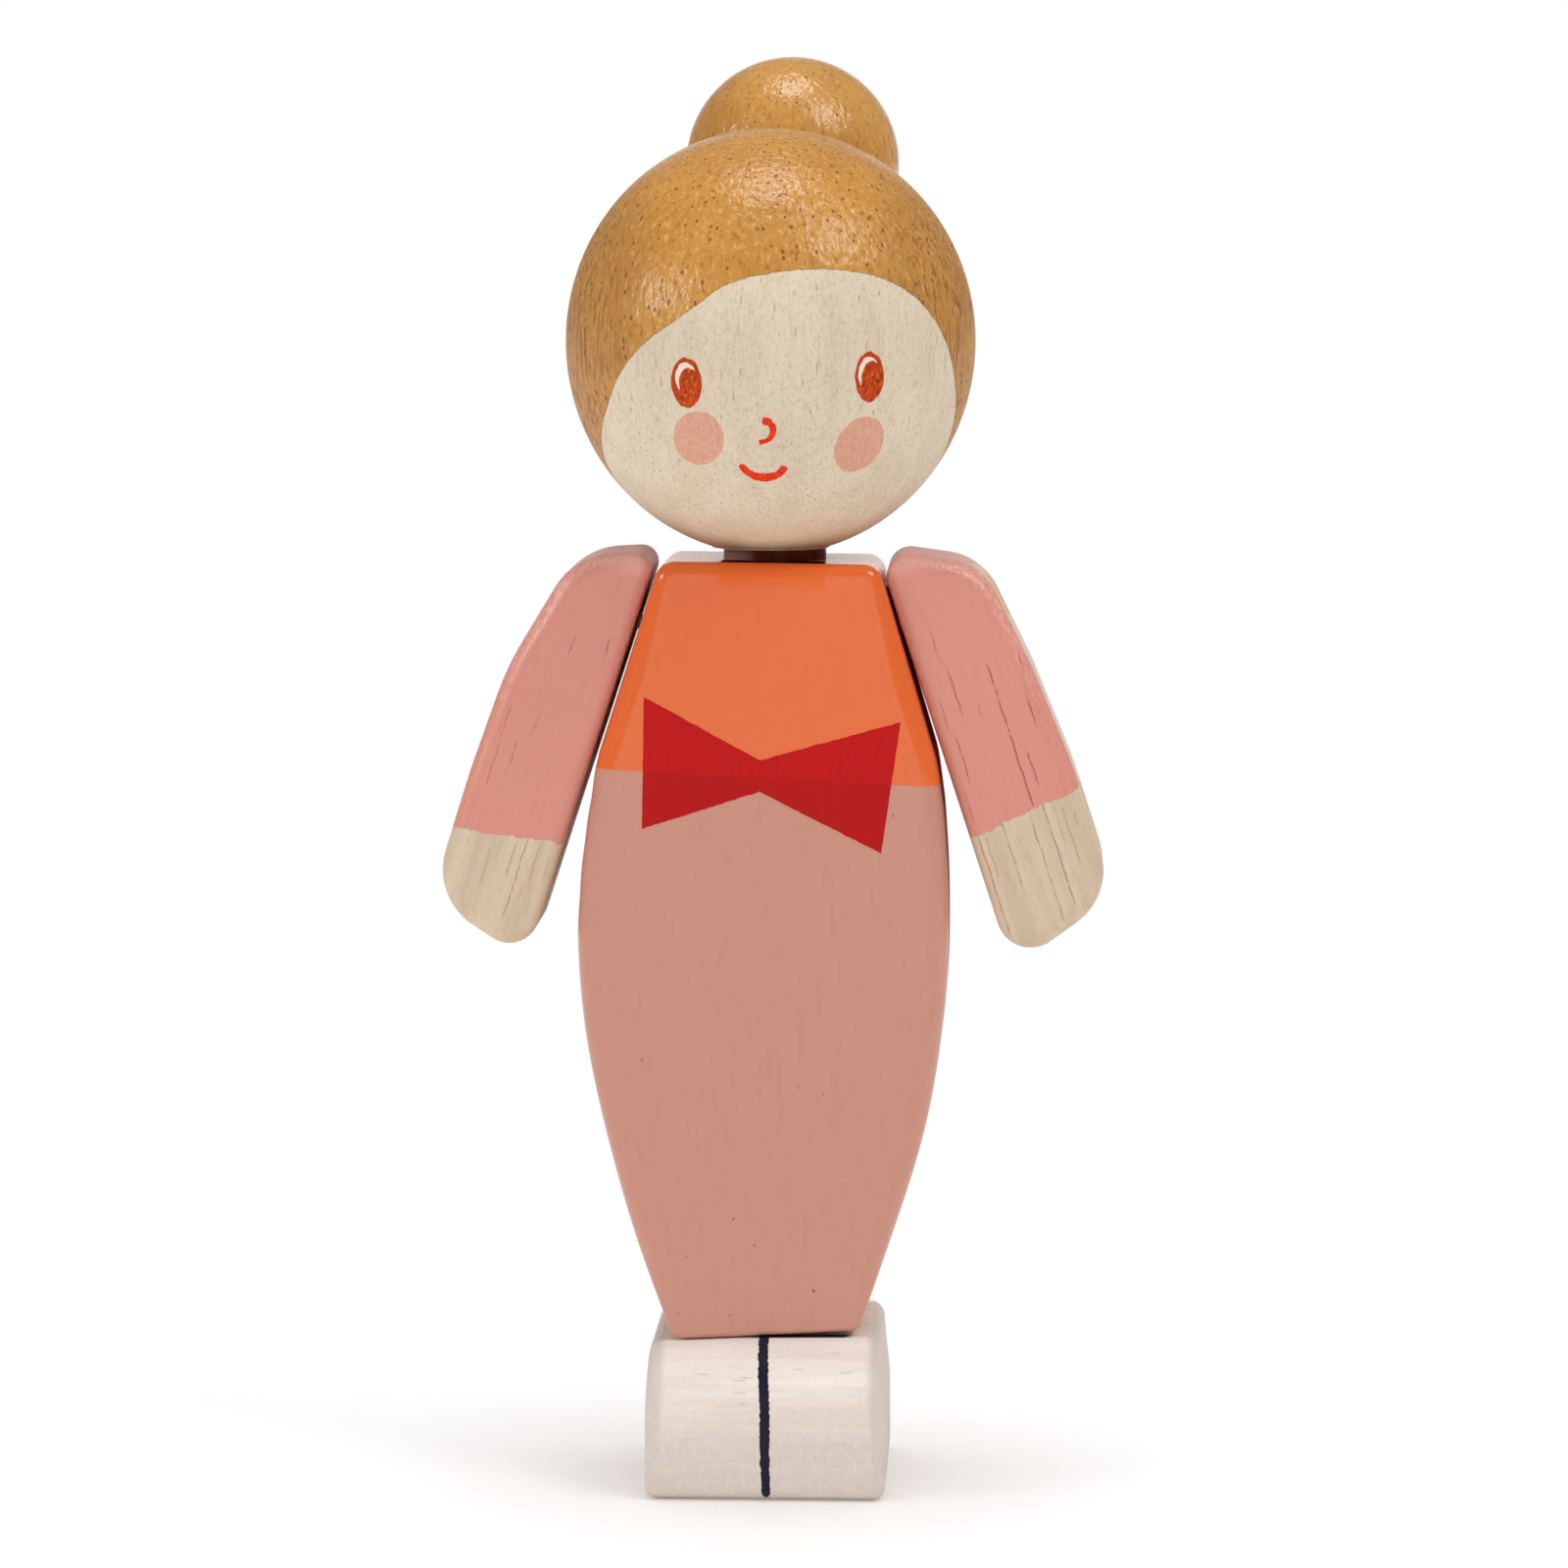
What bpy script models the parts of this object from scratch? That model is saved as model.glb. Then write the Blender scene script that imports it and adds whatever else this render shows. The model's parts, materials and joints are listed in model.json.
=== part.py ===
"""Wooden doll: turned ball head with a bun, plate body with a long skirt, two arms and a foot block.

Metres, +Z up. The doll faces -Y and its own left hand is on the +X side. The origin is the middle
of the foot block's underside. The head turns on the neck dowel, and each arm swings on the elastic
that runs through the body, about an axis square to the body's slanted side.
"""
import math

import bmesh
import bpy
from mathutils import Euler, Matrix, Vector, geometry

MM = 0.001

# Fits
CLEARANCE = 0.3 * MM

# Foot block
FOOT_WIDTH = 20.5 * MM
FOOT_DEPTH = 22.0 * MM
FOOT_HEIGHT = 13.0 * MM
TOE_RADIUS = 5.0 * MM
FOOT_EDGE_RADIUS = 1.3 * MM

# Body: one plate that is both torso and skirt, its half outline in front view
BODY_HEIGHT = 65.0 * MM
BODY_THICKNESS = 15.0 * MM
BODY_SETBACK = 1.0 * MM
SHOULDER_HALF_WIDTH = 9.0 * MM
SIDE_SLANT = math.radians(17.5)
SIDE_HEIGHT = 15.8 * MM
HIP_HALF_WIDTH = 15.5 * MM
HIP_HEIGHT = 33.7 * MM
HEM_HALF_WIDTH = 7.9 * MM
HEM_SLANT = math.radians(20.0)
WAIST_EASE = 3.0 * MM
HIP_EASE_UP = 7.0 * MM
HIP_EASE_DOWN = 12.0 * MM
HEM_EASE = 11.0 * MM
BODY_EDGE_RADIUS = 2.0 * MM
HEM_EDGE_RADIUS = 0.8 * MM

# Dowel between foot block and body
FOOT_DOWEL_RADIUS = 3.0 * MM
FOOT_DOWEL_IN_FOOT = 8.0 * MM
FOOT_DOWEL_IN_BODY = 8.0 * MM

# Neck dowel, glued in the body; the head turns on it
NECK_RADIUS = 4.3 * MM
NECK_IN_BODY = 5.0 * MM
NECK_IN_HEAD = 10.0 * MM
NECK_GAP = 0.8 * MM

# Head: an egg of revolution with a small flat under it, turned a little to the doll's right
HEAD_RADIUS = 17.1 * MM
HEAD_HALF_HEIGHT = 17.7 * MM
HEAD_BASE_DROP = 16.9 * MM
HEAD_TURN = math.radians(-3.0)

# Bun: a ball with a flat foot, on a dowel square to a flat on the back of the crown
BUN_RADIUS = 9.2 * MM
BUN_FOOT_RADIUS = 4.3 * MM
BUN_SEAT_DEPTH = 0.6 * MM
BUN_TILT = math.radians(36.0)
BUN_DOWEL_RADIUS = 2.0 * MM
BUN_DOWEL_IN_HEAD = 6.0 * MM
BUN_DOWEL_IN_BUN = 7.0 * MM

# Arms: planks whose inner faces lie along the body's slanted sides
ARM_PIVOT_DROP = 6.1 * MM
ARM_THICKNESS = 12.0 * MM
ARM_ABOVE_PIVOT = 6.6 * MM
ARM_BELOW_PIVOT = 29.3 * MM
ARM_SHOULDER_WIDTH = 7.6 * MM
ARM_SHOULDER_FALL = 1.8 * MM
ARM_ELBOW_WIDTH = 9.4 * MM
ARM_ELBOW_DROP = 6.6 * MM
ARM_WIDTH = 10.1 * MM
ARM_WIDEST_DROP = 15.6 * MM
HAND_SHORTER_OUTSIDE = 2.6 * MM
ARM_SHOULDER_RADIUS = 4.5 * MM
ARM_SIDE_RADIUS = 40.0 * MM
HAND_OUTER_RADIUS = 3.8 * MM
HAND_INNER_RADIUS = 2.3 * MM
ARM_EDGE_RADIUS = 1.8 * MM

# Elastic that pulls both arms against the body, knotted in a counterbore in each arm
ELASTIC_RADIUS = 0.6 * MM
ELASTIC_BEND_RADIUS = 5.0 * MM
KNOT_RADIUS = 1.3 * MM
KNOT_TWIST = math.radians(11.25)
KNOT_SEAT_DEPTH = 3.0 * MM
PLUG_RADIUS = 2.2 * MM

# Dowel ends
DOWEL_CHAMFER = 0.4 * MM
DOWEL_END_ANGLE = math.radians(60.0)

# How finely round shapes are stepped
BALL_STEPS = 48
BALL_RINGS = 26
BUN_STEPS = 40
BUN_RINGS = 18
DOWEL_STEPS = 32
BORE_STEPS = 32
CURVE_STEPS = 7
SIDE_ARC_STEPS = 2
KNOT_STEPS = 16
KNOT_RINGS = 10
CORD_RESOLUTION = 2
TOE_SEGMENTS = 6
EDGE_SEGMENTS = 3
DOWEL_END_SEGMENTS = 2

# Which edges count as sharp, and how close points are welded
SMOOTH_ANGLE = math.radians(35.0)
ROUNDED_ANGLE = math.radians(40.0)
FLAT_ANGLE = math.radians(1.0)
WELD = 0.001 * MM
AXIS_WELD = 0.01 * MM

# Colours, from 0 to 255
PALE_WOOD = (230, 217, 205)
DOWEL_WOOD = (208, 176, 132)
STAINED_WOOD = (92, 40, 20)
SKIRT_PINK = (200, 143, 125)
SLEEVE_PINK = (212, 140, 125)
HAIR_OCHRE = (200, 145, 75)
BUN_OCHRE = (196, 140, 72)
ELASTIC_WHITE = (225, 222, 215)

# Roughness of bare wood, paint, stain and thread
WOOD_ROUGHNESS = 0.6
PAINT_ROUGHNESS = 0.45
HAIR_ROUGHNESS = 0.4
THREAD_ROUGHNESS = 0.7

# Places that follow from the sizes
BODY_BASE = FOOT_HEIGHT + CLEARANCE
BODY_TOP = BODY_BASE + BODY_HEIGHT
HEAD_CENTRE = Vector((0.0, BODY_SETBACK, BODY_TOP + NECK_GAP + HEAD_BASE_DROP))
ARM_PIVOT_X = SHOULDER_HALF_WIDTH + ARM_PIVOT_DROP * math.sin(SIDE_SLANT)
ARM_PIVOT_Z = BODY_TOP - ARM_PIVOT_DROP * math.cos(SIDE_SLANT)
KNOT_REACH = CLEARANCE + KNOT_SEAT_DEPTH + CLEARANCE + KNOT_RADIUS
PLUG_REACH = KNOT_SEAT_DEPTH + 2.0 * (CLEARANCE + KNOT_RADIUS) + CLEARANCE
PAST_ARM = 2.0 * ARM_WIDTH


def remove_everything():
    """Empty the scene of objects."""
    for obj in list(bpy.data.objects):
        bpy.data.objects.remove(obj, do_unlink=True)


def make_collection(name):
    """A new collection in the scene."""
    collection = bpy.data.collections.new(name)
    bpy.context.scene.collection.children.link(collection)
    return collection


def linear(channel):
    """One colour channel from 0 to 255, as the shader wants it."""
    value = channel / 255.0
    if value <= 0.04045:
        return value / 12.92
    return ((value + 0.055) / 1.055) ** 2.4


def make_material(name, rgb, roughness):
    """A Principled material of one colour."""
    material = bpy.data.materials.new(name)
    material.use_nodes = True
    shader = material.node_tree.nodes["Principled BSDF"]
    shader.inputs["Base Color"].default_value = (*(linear(c) for c in rgb), 1.0)
    shader.inputs["Roughness"].default_value = roughness
    return material


def add_object(name, mesh, collection, material=None):
    """An object for a mesh, in its collection, with its material."""
    obj = bpy.data.objects.new(name, mesh)
    collection.objects.link(obj)
    if material is not None:
        mesh.materials.append(material)
    return obj


def add_pivot(name, collection, location, rotation=(0.0, 0.0, 0.0)):
    """An empty that stands on a joint's axis and carries the pieces that move with it."""
    pivot = bpy.data.objects.new(name, None)
    collection.objects.link(pivot)
    pivot.location = location
    pivot.rotation_euler = rotation
    return pivot


def smooth_round(mesh):
    """Shade round faces smooth and keep the crisp edges."""
    mesh.shade_smooth()
    mesh.set_sharp_from_angle(angle=SMOOTH_ANGLE)


def fillet(before, corner, after, radius, steps):
    """Points of the arc that rounds one corner of a flat outline."""
    to_before = (before - corner).normalized()
    to_after = (after - corner).normalized()
    half_angle = to_before.angle(to_after) / 2.0
    reach = radius / math.tan(half_angle)
    centre = corner + (to_before + to_after).normalized() * (radius / math.sin(half_angle))
    start = corner + to_before * reach - centre
    end = corner + to_after * reach - centre
    turn = start.angle_signed(end)
    points = []
    for step in range(steps + 1):
        angle = -turn * step / steps
        points.append(centre + Matrix.Rotation(angle, 2) @ start)
    return points


def bezier(start, start_pull, end_pull, end, steps):
    """Points of one cubic stretch, its start left out."""
    return list(geometry.interpolate_bezier(start, start_pull, end_pull, end, steps + 1))[1:]


def mesh_of_curve(name, curve, rotation=(0.0, 0.0, 0.0)):
    """A closed mesh from a curve, its caps welded, turned as asked."""
    guide = bpy.data.objects.new(name + "_curve", curve)
    bpy.context.scene.collection.objects.link(guide)
    guide.rotation_euler = rotation
    bpy.context.view_layer.update()
    evaluated = guide.evaluated_get(bpy.context.evaluated_depsgraph_get())
    mesh = bpy.data.meshes.new_from_object(evaluated)
    mesh.transform(guide.matrix_world)
    mesh.name = name
    bpy.data.objects.remove(guide, do_unlink=True)
    shape = bmesh.new()
    shape.from_mesh(mesh)
    bmesh.ops.remove_doubles(shape, verts=shape.verts, dist=WELD)
    bmesh.ops.recalc_face_normals(shape, faces=shape.faces)
    shape.to_mesh(mesh)
    shape.free()
    return mesh


def plate_mesh(name, outline, thickness):
    """A plate that stands in the XZ plane, from its outline in front view."""
    curve = bpy.data.curves.new(name + "_outline", "CURVE")
    curve.dimensions = "2D"
    curve.fill_mode = "BOTH"
    curve.extrude = thickness / 2.0
    spline = curve.splines.new("POLY")
    spline.points.add(len(outline) - 1)
    spline.use_cyclic_u = True
    for point, (x, z) in zip(spline.points, outline):
        point.co = (x, z, 0.0, 1.0)
    mesh = mesh_of_curve(name, curve, (math.radians(90.0), 0.0, 0.0))
    shape = bmesh.new()
    shape.from_mesh(mesh)
    bmesh.ops.dissolve_limit(shape, angle_limit=FLAT_ANGLE, verts=shape.verts, edges=shape.edges)
    shape.to_mesh(mesh)
    shape.free()
    return mesh


def round_edges(obj, largest, radius_of, segments):
    """Round the sharp edges, each by the radius that radius_of gives for its middle and direction."""
    shape = bmesh.new()
    shape.from_mesh(obj.data)
    layer = shape.edges.layers.float.new("bevel_weight_edge")
    for edge in shape.edges:
        if edge.calc_face_angle(0.0) > ROUNDED_ANGLE:
            first, second = (vert.co for vert in edge.verts)
            edge[layer] = radius_of((first + second) / 2.0, second - first) / largest
    shape.to_mesh(obj.data)
    shape.free()
    bevel = obj.modifiers.new("rounding", "BEVEL")
    bevel.limit_method = "WEIGHT"
    bevel.width = largest
    bevel.segments = segments


def cut(obj, cutter):
    """Take the cutter out of the object."""
    boolean = obj.modifiers.new("cut_" + cutter.name, "BOOLEAN")
    boolean.operation = "DIFFERENCE"
    boolean.solver = "EXACT"
    boolean.object = cutter


def combine(obj, other, operation):
    """Union or intersection of an object with a guide."""
    boolean = obj.modifiers.new("with_" + other.name, "BOOLEAN")
    boolean.operation = operation
    boolean.solver = "EXACT"
    boolean.object = other


def hide_guide(guide):
    """Mark a cutter or guide as no piece of the doll."""
    guide.hide_render = True
    guide.display_type = "WIRE"


def rod_mesh(name, radius, start, end, steps):
    """A round rod between two points."""
    axis = end - start
    shape = bmesh.new()
    bmesh.ops.create_cone(
        shape, cap_ends=True, segments=steps, radius1=radius, radius2=radius, depth=axis.length)
    turn = axis.to_track_quat("Z", "Y").to_matrix().to_4x4()
    place = Matrix.Translation((start + end) / 2.0) @ turn
    bmesh.ops.transform(shape, matrix=place, verts=shape.verts)
    mesh = bpy.data.meshes.new(name)
    shape.to_mesh(mesh)
    shape.free()
    return mesh


def make_cutter(name, radius, start, end, cutters, parent=None):
    """A round cutter between two points."""
    cutter = add_object(name, rod_mesh(name, radius, start, end, BORE_STEPS), cutters)
    cutter.parent = parent
    hide_guide(cutter)
    return cutter


def make_dowel(name, radius, start, end, parts, material, parent=None):
    """A dowel with softened ends between two points."""
    dowel = add_object(name, rod_mesh(name, radius, start, end, DOWEL_STEPS), parts, material)
    dowel.parent = parent
    bevel = dowel.modifiers.new("softened_ends", "BEVEL")
    bevel.limit_method = "ANGLE"
    bevel.angle_limit = DOWEL_END_ANGLE
    bevel.width = DOWEL_CHAMFER
    bevel.segments = DOWEL_END_SEGMENTS
    smooth_round(dowel.data)
    return dowel


def turned_piece(name, profile, parts, material, steps):
    """A piece turned on a lathe: its profile runs from the top down the outer side."""
    mesh = bpy.data.meshes.new(name)
    vertices = [(radius, 0.0, height) for radius, height in profile]
    edges = [(index, index + 1) for index in range(len(profile) - 1)]
    mesh.from_pydata(vertices, edges, [])
    piece = add_object(name, mesh, parts, material)
    screw = piece.modifiers.new("turning", "SCREW")
    screw.axis = "Z"
    screw.steps = steps
    screw.render_steps = steps
    screw.use_merge_vertices = True
    screw.merge_threshold = AXIS_WELD
    screw.use_smooth_shade = True
    return piece


def ball_profile(radius, half_height, base_drop, rings):
    """The outer side of a ball from its top pole to the rim of the flat under it."""
    last = math.acos(-base_drop / half_height)
    points = []
    for ring in range(rings + 1):
        angle = last * ring / rings
        points.append((radius * math.sin(angle), half_height * math.cos(angle)))
    return points


def body_outline():
    """The body in front view, clockwise from its left shoulder seen from the front."""
    slant = Vector((math.sin(SIDE_SLANT), -math.cos(SIDE_SLANT)))
    shoulder = Vector((SHOULDER_HALF_WIDTH, BODY_TOP))
    waist = shoulder + slant * (SIDE_HEIGHT / math.cos(SIDE_SLANT))
    hip = Vector((HIP_HALF_WIDTH, BODY_BASE + HIP_HEIGHT))
    hem = Vector((HEM_HALF_WIDTH, BODY_BASE))
    rise = Vector((math.sin(HEM_SLANT), math.cos(HEM_SLANT)))
    half = [shoulder, waist]
    half += bezier(
        waist, waist + slant * WAIST_EASE, hip + Vector((0.0, HIP_EASE_UP)), hip, CURVE_STEPS)
    half += bezier(
        hip, hip - Vector((0.0, HIP_EASE_DOWN)), hem + rise * HEM_EASE, hem, 2 * CURVE_STEPS)
    other = [Vector((-point.x, point.y)) for point in reversed(half)]
    return half + other


def body_edge_radius(middle, direction):
    """The hem is crisper than the rest of the body's edges."""
    if middle.z < BODY_BASE + HEM_EDGE_RADIUS:
        return HEM_EDGE_RADIUS
    return BODY_EDGE_RADIUS


def foot_edge_radius(middle, direction):
    """The top front edge is the rounded toe; the rest is lightly broken."""
    if middle.z > 0.0 and middle.y < 0.0 and abs(direction.x) > abs(direction.z):
        return TOE_RADIUS
    return FOOT_EDGE_RADIUS


def arm_outline(side):
    """One arm in front view, about its pivot on its inner face."""
    corners = [
        (Vector((0.0, ARM_ABOVE_PIVOT)), None),
        (Vector((ARM_SHOULDER_WIDTH, ARM_ABOVE_PIVOT - ARM_SHOULDER_FALL)), ARM_SHOULDER_RADIUS),
        (Vector((ARM_ELBOW_WIDTH, -ARM_ELBOW_DROP)), ARM_SIDE_RADIUS),
        (Vector((ARM_WIDTH, -ARM_WIDEST_DROP)), ARM_SIDE_RADIUS),
        (Vector((ARM_WIDTH, HAND_SHORTER_OUTSIDE - ARM_BELOW_PIVOT)), HAND_OUTER_RADIUS),
        (Vector((0.0, -ARM_BELOW_PIVOT)), HAND_INNER_RADIUS),
    ]
    outline = []
    for index, (corner, radius) in enumerate(corners):
        before = corners[index - 1][0]
        after = corners[(index + 1) % len(corners)][0]
        if radius is None:
            outline.append(corner)
        elif radius == ARM_SIDE_RADIUS:
            outline += fillet(before, corner, after, radius, SIDE_ARC_STEPS)
        else:
            outline += fillet(before, corner, after, radius, CURVE_STEPS)
    return [Vector((side * point.x, point.y)) for point in outline]


def arm_edge_radius(middle, direction):
    """All the arm's edges are rounded alike."""
    return ARM_EDGE_RADIUS


def elastic_point(side, reach):
    """A point on the arm's pivot axis, so far outside the body's slanted side."""
    outward = Vector((side * math.cos(SIDE_SLANT), 0.0, math.sin(SIDE_SLANT)))
    return Vector((side * ARM_PIVOT_X, BODY_SETBACK, ARM_PIVOT_Z)) + outward * reach


def elastic_bend():
    """Where the two slanted halves of the elastic's channel meet inside the body."""
    return Vector((0.0, BODY_SETBACK, ARM_PIVOT_Z - ARM_PIVOT_X * math.tan(SIDE_SLANT)))


def build_foot(parts, cutters):
    """The foot block with its rounded toe and the bore for the dowel."""
    shape = bmesh.new()
    bmesh.ops.create_cube(shape, size=1.0)
    size = Matrix.Diagonal((FOOT_WIDTH, FOOT_DEPTH, FOOT_HEIGHT, 1.0))
    bmesh.ops.transform(shape, matrix=size, verts=shape.verts)
    mesh = bpy.data.meshes.new("foot_block")
    shape.to_mesh(mesh)
    shape.free()
    material = make_material("pale_bare_wood", PALE_WOOD, WOOD_ROUGHNESS)
    foot = add_object("foot_block", mesh, parts, material)
    foot.location = (0.0, 0.0, FOOT_HEIGHT / 2.0)
    round_edges(foot, TOE_RADIUS, foot_edge_radius, TOE_SEGMENTS)
    bore = make_cutter(
        "foot_dowel_bore_low", FOOT_DOWEL_RADIUS + CLEARANCE,
        Vector((0.0, BODY_SETBACK, FOOT_HEIGHT - FOOT_DOWEL_IN_FOOT - CLEARANCE)),
        Vector((0.0, BODY_SETBACK, FOOT_HEIGHT + CLEARANCE)), cutters)
    cut(foot, bore)
    smooth_round(foot.data)
    make_dowel(
        "foot_dowel", FOOT_DOWEL_RADIUS,
        Vector((0.0, BODY_SETBACK, FOOT_HEIGHT - FOOT_DOWEL_IN_FOOT)),
        Vector((0.0, BODY_SETBACK, BODY_BASE + FOOT_DOWEL_IN_BODY)),
        parts, make_material("foot_dowel_wood", DOWEL_WOOD, WOOD_ROUGHNESS))


def build_body(parts, cutters):
    """The body plate with its bores for the two dowels and the elastic."""
    mesh = plate_mesh("body_block", body_outline(), BODY_THICKNESS)
    paint = make_material("skirt_pink", SKIRT_PINK, PAINT_ROUGHNESS)
    body = add_object("body_block", mesh, parts, paint)
    body.location.y = BODY_SETBACK
    round_edges(body, BODY_EDGE_RADIUS, body_edge_radius, EDGE_SEGMENTS)
    centre = Vector((0.0, BODY_SETBACK, 0.0))
    up = Vector((0.0, 0.0, 1.0))
    cut(body, make_cutter(
        "foot_dowel_bore_high", FOOT_DOWEL_RADIUS + CLEARANCE,
        centre + up * (BODY_BASE - CLEARANCE),
        centre + up * (BODY_BASE + FOOT_DOWEL_IN_BODY + CLEARANCE), cutters))
    cut(body, make_cutter(
        "neck_bore_low", NECK_RADIUS + CLEARANCE,
        centre + up * (BODY_TOP - NECK_IN_BODY - CLEARANCE),
        centre + up * (BODY_TOP + CLEARANCE), cutters))
    channel = add_object("elastic_channel", cord_mesh(
        "elastic_channel", elastic_route(CLEARANCE), ELASTIC_RADIUS + CLEARANCE), cutters)
    hide_guide(channel)
    cut(body, channel)
    smooth_round(body.data)


def build_neck(parts):
    """The dowel that the head turns on."""
    make_dowel(
        "neck_dowel", NECK_RADIUS,
        Vector((0.0, BODY_SETBACK, BODY_TOP - NECK_IN_BODY)),
        Vector((0.0, BODY_SETBACK, BODY_TOP + NECK_GAP + NECK_IN_HEAD)),
        parts, make_material("neck_wood", STAINED_WOOD, PAINT_ROUGHNESS))


def build_head(parts, cutters):
    """The head, its bun and the bun's dowel, all carried by a pivot on the neck's axis."""
    pivot = add_pivot("head_turn_axis", parts, HEAD_CENTRE, (0.0, 0.0, HEAD_TURN))
    bore_top = NECK_IN_HEAD + CLEARANCE - HEAD_BASE_DROP
    profile = ball_profile(HEAD_RADIUS, HEAD_HALF_HEIGHT, HEAD_BASE_DROP, BALL_RINGS)
    profile += [
        (NECK_RADIUS + CLEARANCE, -HEAD_BASE_DROP),
        (NECK_RADIUS + CLEARANCE, bore_top),
        (0.0, bore_top),
    ]
    ochre = make_material("hair_ochre", HAIR_OCHRE, HAIR_ROUGHNESS)
    head = turned_piece("head", profile, parts, ochre, BALL_STEPS)
    head.parent = pivot

    outward = Vector((0.0, math.cos(BUN_TILT), math.sin(BUN_TILT)))
    surface = 1.0 / math.hypot(
        math.cos(BUN_TILT) / HEAD_RADIUS, math.sin(BUN_TILT) / HEAD_HALF_HEIGHT)
    seat = surface - BUN_SEAT_DEPTH
    foot_drop = math.sqrt(BUN_RADIUS ** 2 - BUN_FOOT_RADIUS ** 2)
    cut(head, make_cutter(
        "bun_seat", BUN_RADIUS, outward * seat, outward * (seat + BUN_RADIUS), cutters, pivot))
    cut(head, make_cutter(
        "bun_dowel_bore", BUN_DOWEL_RADIUS + CLEARANCE,
        outward * (seat - BUN_DOWEL_IN_HEAD - CLEARANCE),
        outward * (seat + BUN_RADIUS), cutters, pivot))

    profile = ball_profile(BUN_RADIUS, BUN_RADIUS, foot_drop, BUN_RINGS)
    bore_end = BUN_DOWEL_IN_BUN + CLEARANCE - foot_drop
    profile += [
        (BUN_DOWEL_RADIUS + CLEARANCE, -foot_drop),
        (BUN_DOWEL_RADIUS + CLEARANCE, bore_end),
        (0.0, bore_end),
    ]
    bun_ochre = make_material("bun_ochre", BUN_OCHRE, HAIR_ROUGHNESS)
    bun = turned_piece("hair_bun", profile, parts, bun_ochre, BUN_STEPS)
    bun.parent = pivot
    bun.location = outward * (seat + CLEARANCE + foot_drop)
    bun.rotation_euler = Euler((BUN_TILT - math.radians(90.0), 0.0, 0.0))
    make_dowel(
        "bun_dowel", BUN_DOWEL_RADIUS,
        outward * (seat - BUN_DOWEL_IN_HEAD),
        outward * (seat + CLEARANCE + BUN_DOWEL_IN_BUN),
        parts, make_material("bun_dowel_wood", DOWEL_WOOD, WOOD_ROUGHNESS), pivot)


def build_arm(side, word, parts, cutters):
    """One arm with its bore, the counterbore for the knot and the plug that closes it."""
    pivot = add_pivot(
        word + "_arm_axis", parts, elastic_point(side, CLEARANCE), (0.0, -side * SIDE_SLANT, 0.0))
    name = word + "_arm"
    mesh = plate_mesh(name, arm_outline(side), ARM_THICKNESS)
    arm = add_object(name, mesh, parts, make_material(name + "_pink", SLEEVE_PINK, PAINT_ROUGHNESS))
    arm.parent = pivot
    round_edges(arm, ARM_EDGE_RADIUS, arm_edge_radius, EDGE_SEGMENTS)
    blank = add_object(word + "_plug_guide", mesh.copy(), cutters)
    blank.parent = pivot
    hide_guide(blank)
    outward = Vector((side, 0.0, 0.0))
    cut(arm, make_cutter(
        name + "_bore", ELASTIC_RADIUS + CLEARANCE,
        outward * -CLEARANCE, outward * (KNOT_SEAT_DEPTH + CLEARANCE), cutters, pivot))
    cut(arm, make_cutter(
        name + "_counterbore", PLUG_RADIUS + CLEARANCE,
        outward * KNOT_SEAT_DEPTH, outward * PAST_ARM, cutters, pivot))
    smooth_round(arm.data)

    name = word + "_arm_plug"
    plug_mesh = rod_mesh(name, PLUG_RADIUS, outward * PLUG_REACH, outward * PAST_ARM, DOWEL_STEPS)
    bare = make_material(word + "_plug_wood", DOWEL_WOOD, WOOD_ROUGHNESS)
    plug = add_object(name, plug_mesh, parts, bare)
    plug.parent = pivot
    combine(plug, blank, "INTERSECT")
    smooth_round(plug.data)


def elastic_route(reach):
    """Points along the elastic: straight to the bend, round it on an arc and straight on."""
    left = elastic_point(1, reach)
    right = elastic_point(-1, reach)
    flat = [Vector((point.x, point.z)) for point in (left, elastic_bend(), right)]
    arc = fillet(*flat, ELASTIC_BEND_RADIUS, CURVE_STEPS)
    return [left] + [Vector((x, BODY_SETBACK, z)) for x, z in arc] + [right]


def cord_mesh(name, route, radius):
    """A round cord, or the channel for it, along a route."""
    curve = bpy.data.curves.new(name + "_route", "CURVE")
    curve.dimensions = "3D"
    curve.bevel_depth = radius
    curve.bevel_resolution = CORD_RESOLUTION
    curve.use_fill_caps = True
    spline = curve.splines.new("POLY")
    spline.points.add(len(route) - 1)
    for point, place in zip(spline.points, route):
        point.co = (*place, 1.0)
    return mesh_of_curve(name, curve)


def build_elastic(parts, cutters):
    """The elastic through body and arms with its two end knots, as one piece."""
    mesh = cord_mesh("arm_elastic", elastic_route(KNOT_REACH), ELASTIC_RADIUS)
    white = make_material("elastic_white", ELASTIC_WHITE, THREAD_ROUGHNESS)
    elastic = add_object("arm_elastic", mesh, parts, white)
    for side, word in ((1, "left"), (-1, "right")):
        knot_mesh = bpy.data.meshes.new(word + "_knot")
        shape = bmesh.new()
        bmesh.ops.create_uvsphere(
            shape, u_segments=KNOT_STEPS, v_segments=KNOT_RINGS, radius=KNOT_RADIUS)
        shape.to_mesh(knot_mesh)
        shape.free()
        knot = add_object(word + "_knot", knot_mesh, cutters)
        knot.location = elastic_point(side, KNOT_REACH)
        turn_on_cord = Matrix.Rotation(KNOT_TWIST, 3, "Z")
        along_cord = Matrix.Rotation(side * (math.radians(90.0) - SIDE_SLANT), 3, "Y")
        knot.rotation_euler = (along_cord @ turn_on_cord).to_euler()
        hide_guide(knot)
        combine(elastic, knot, "UNION")
    smooth_round(elastic.data)


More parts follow.
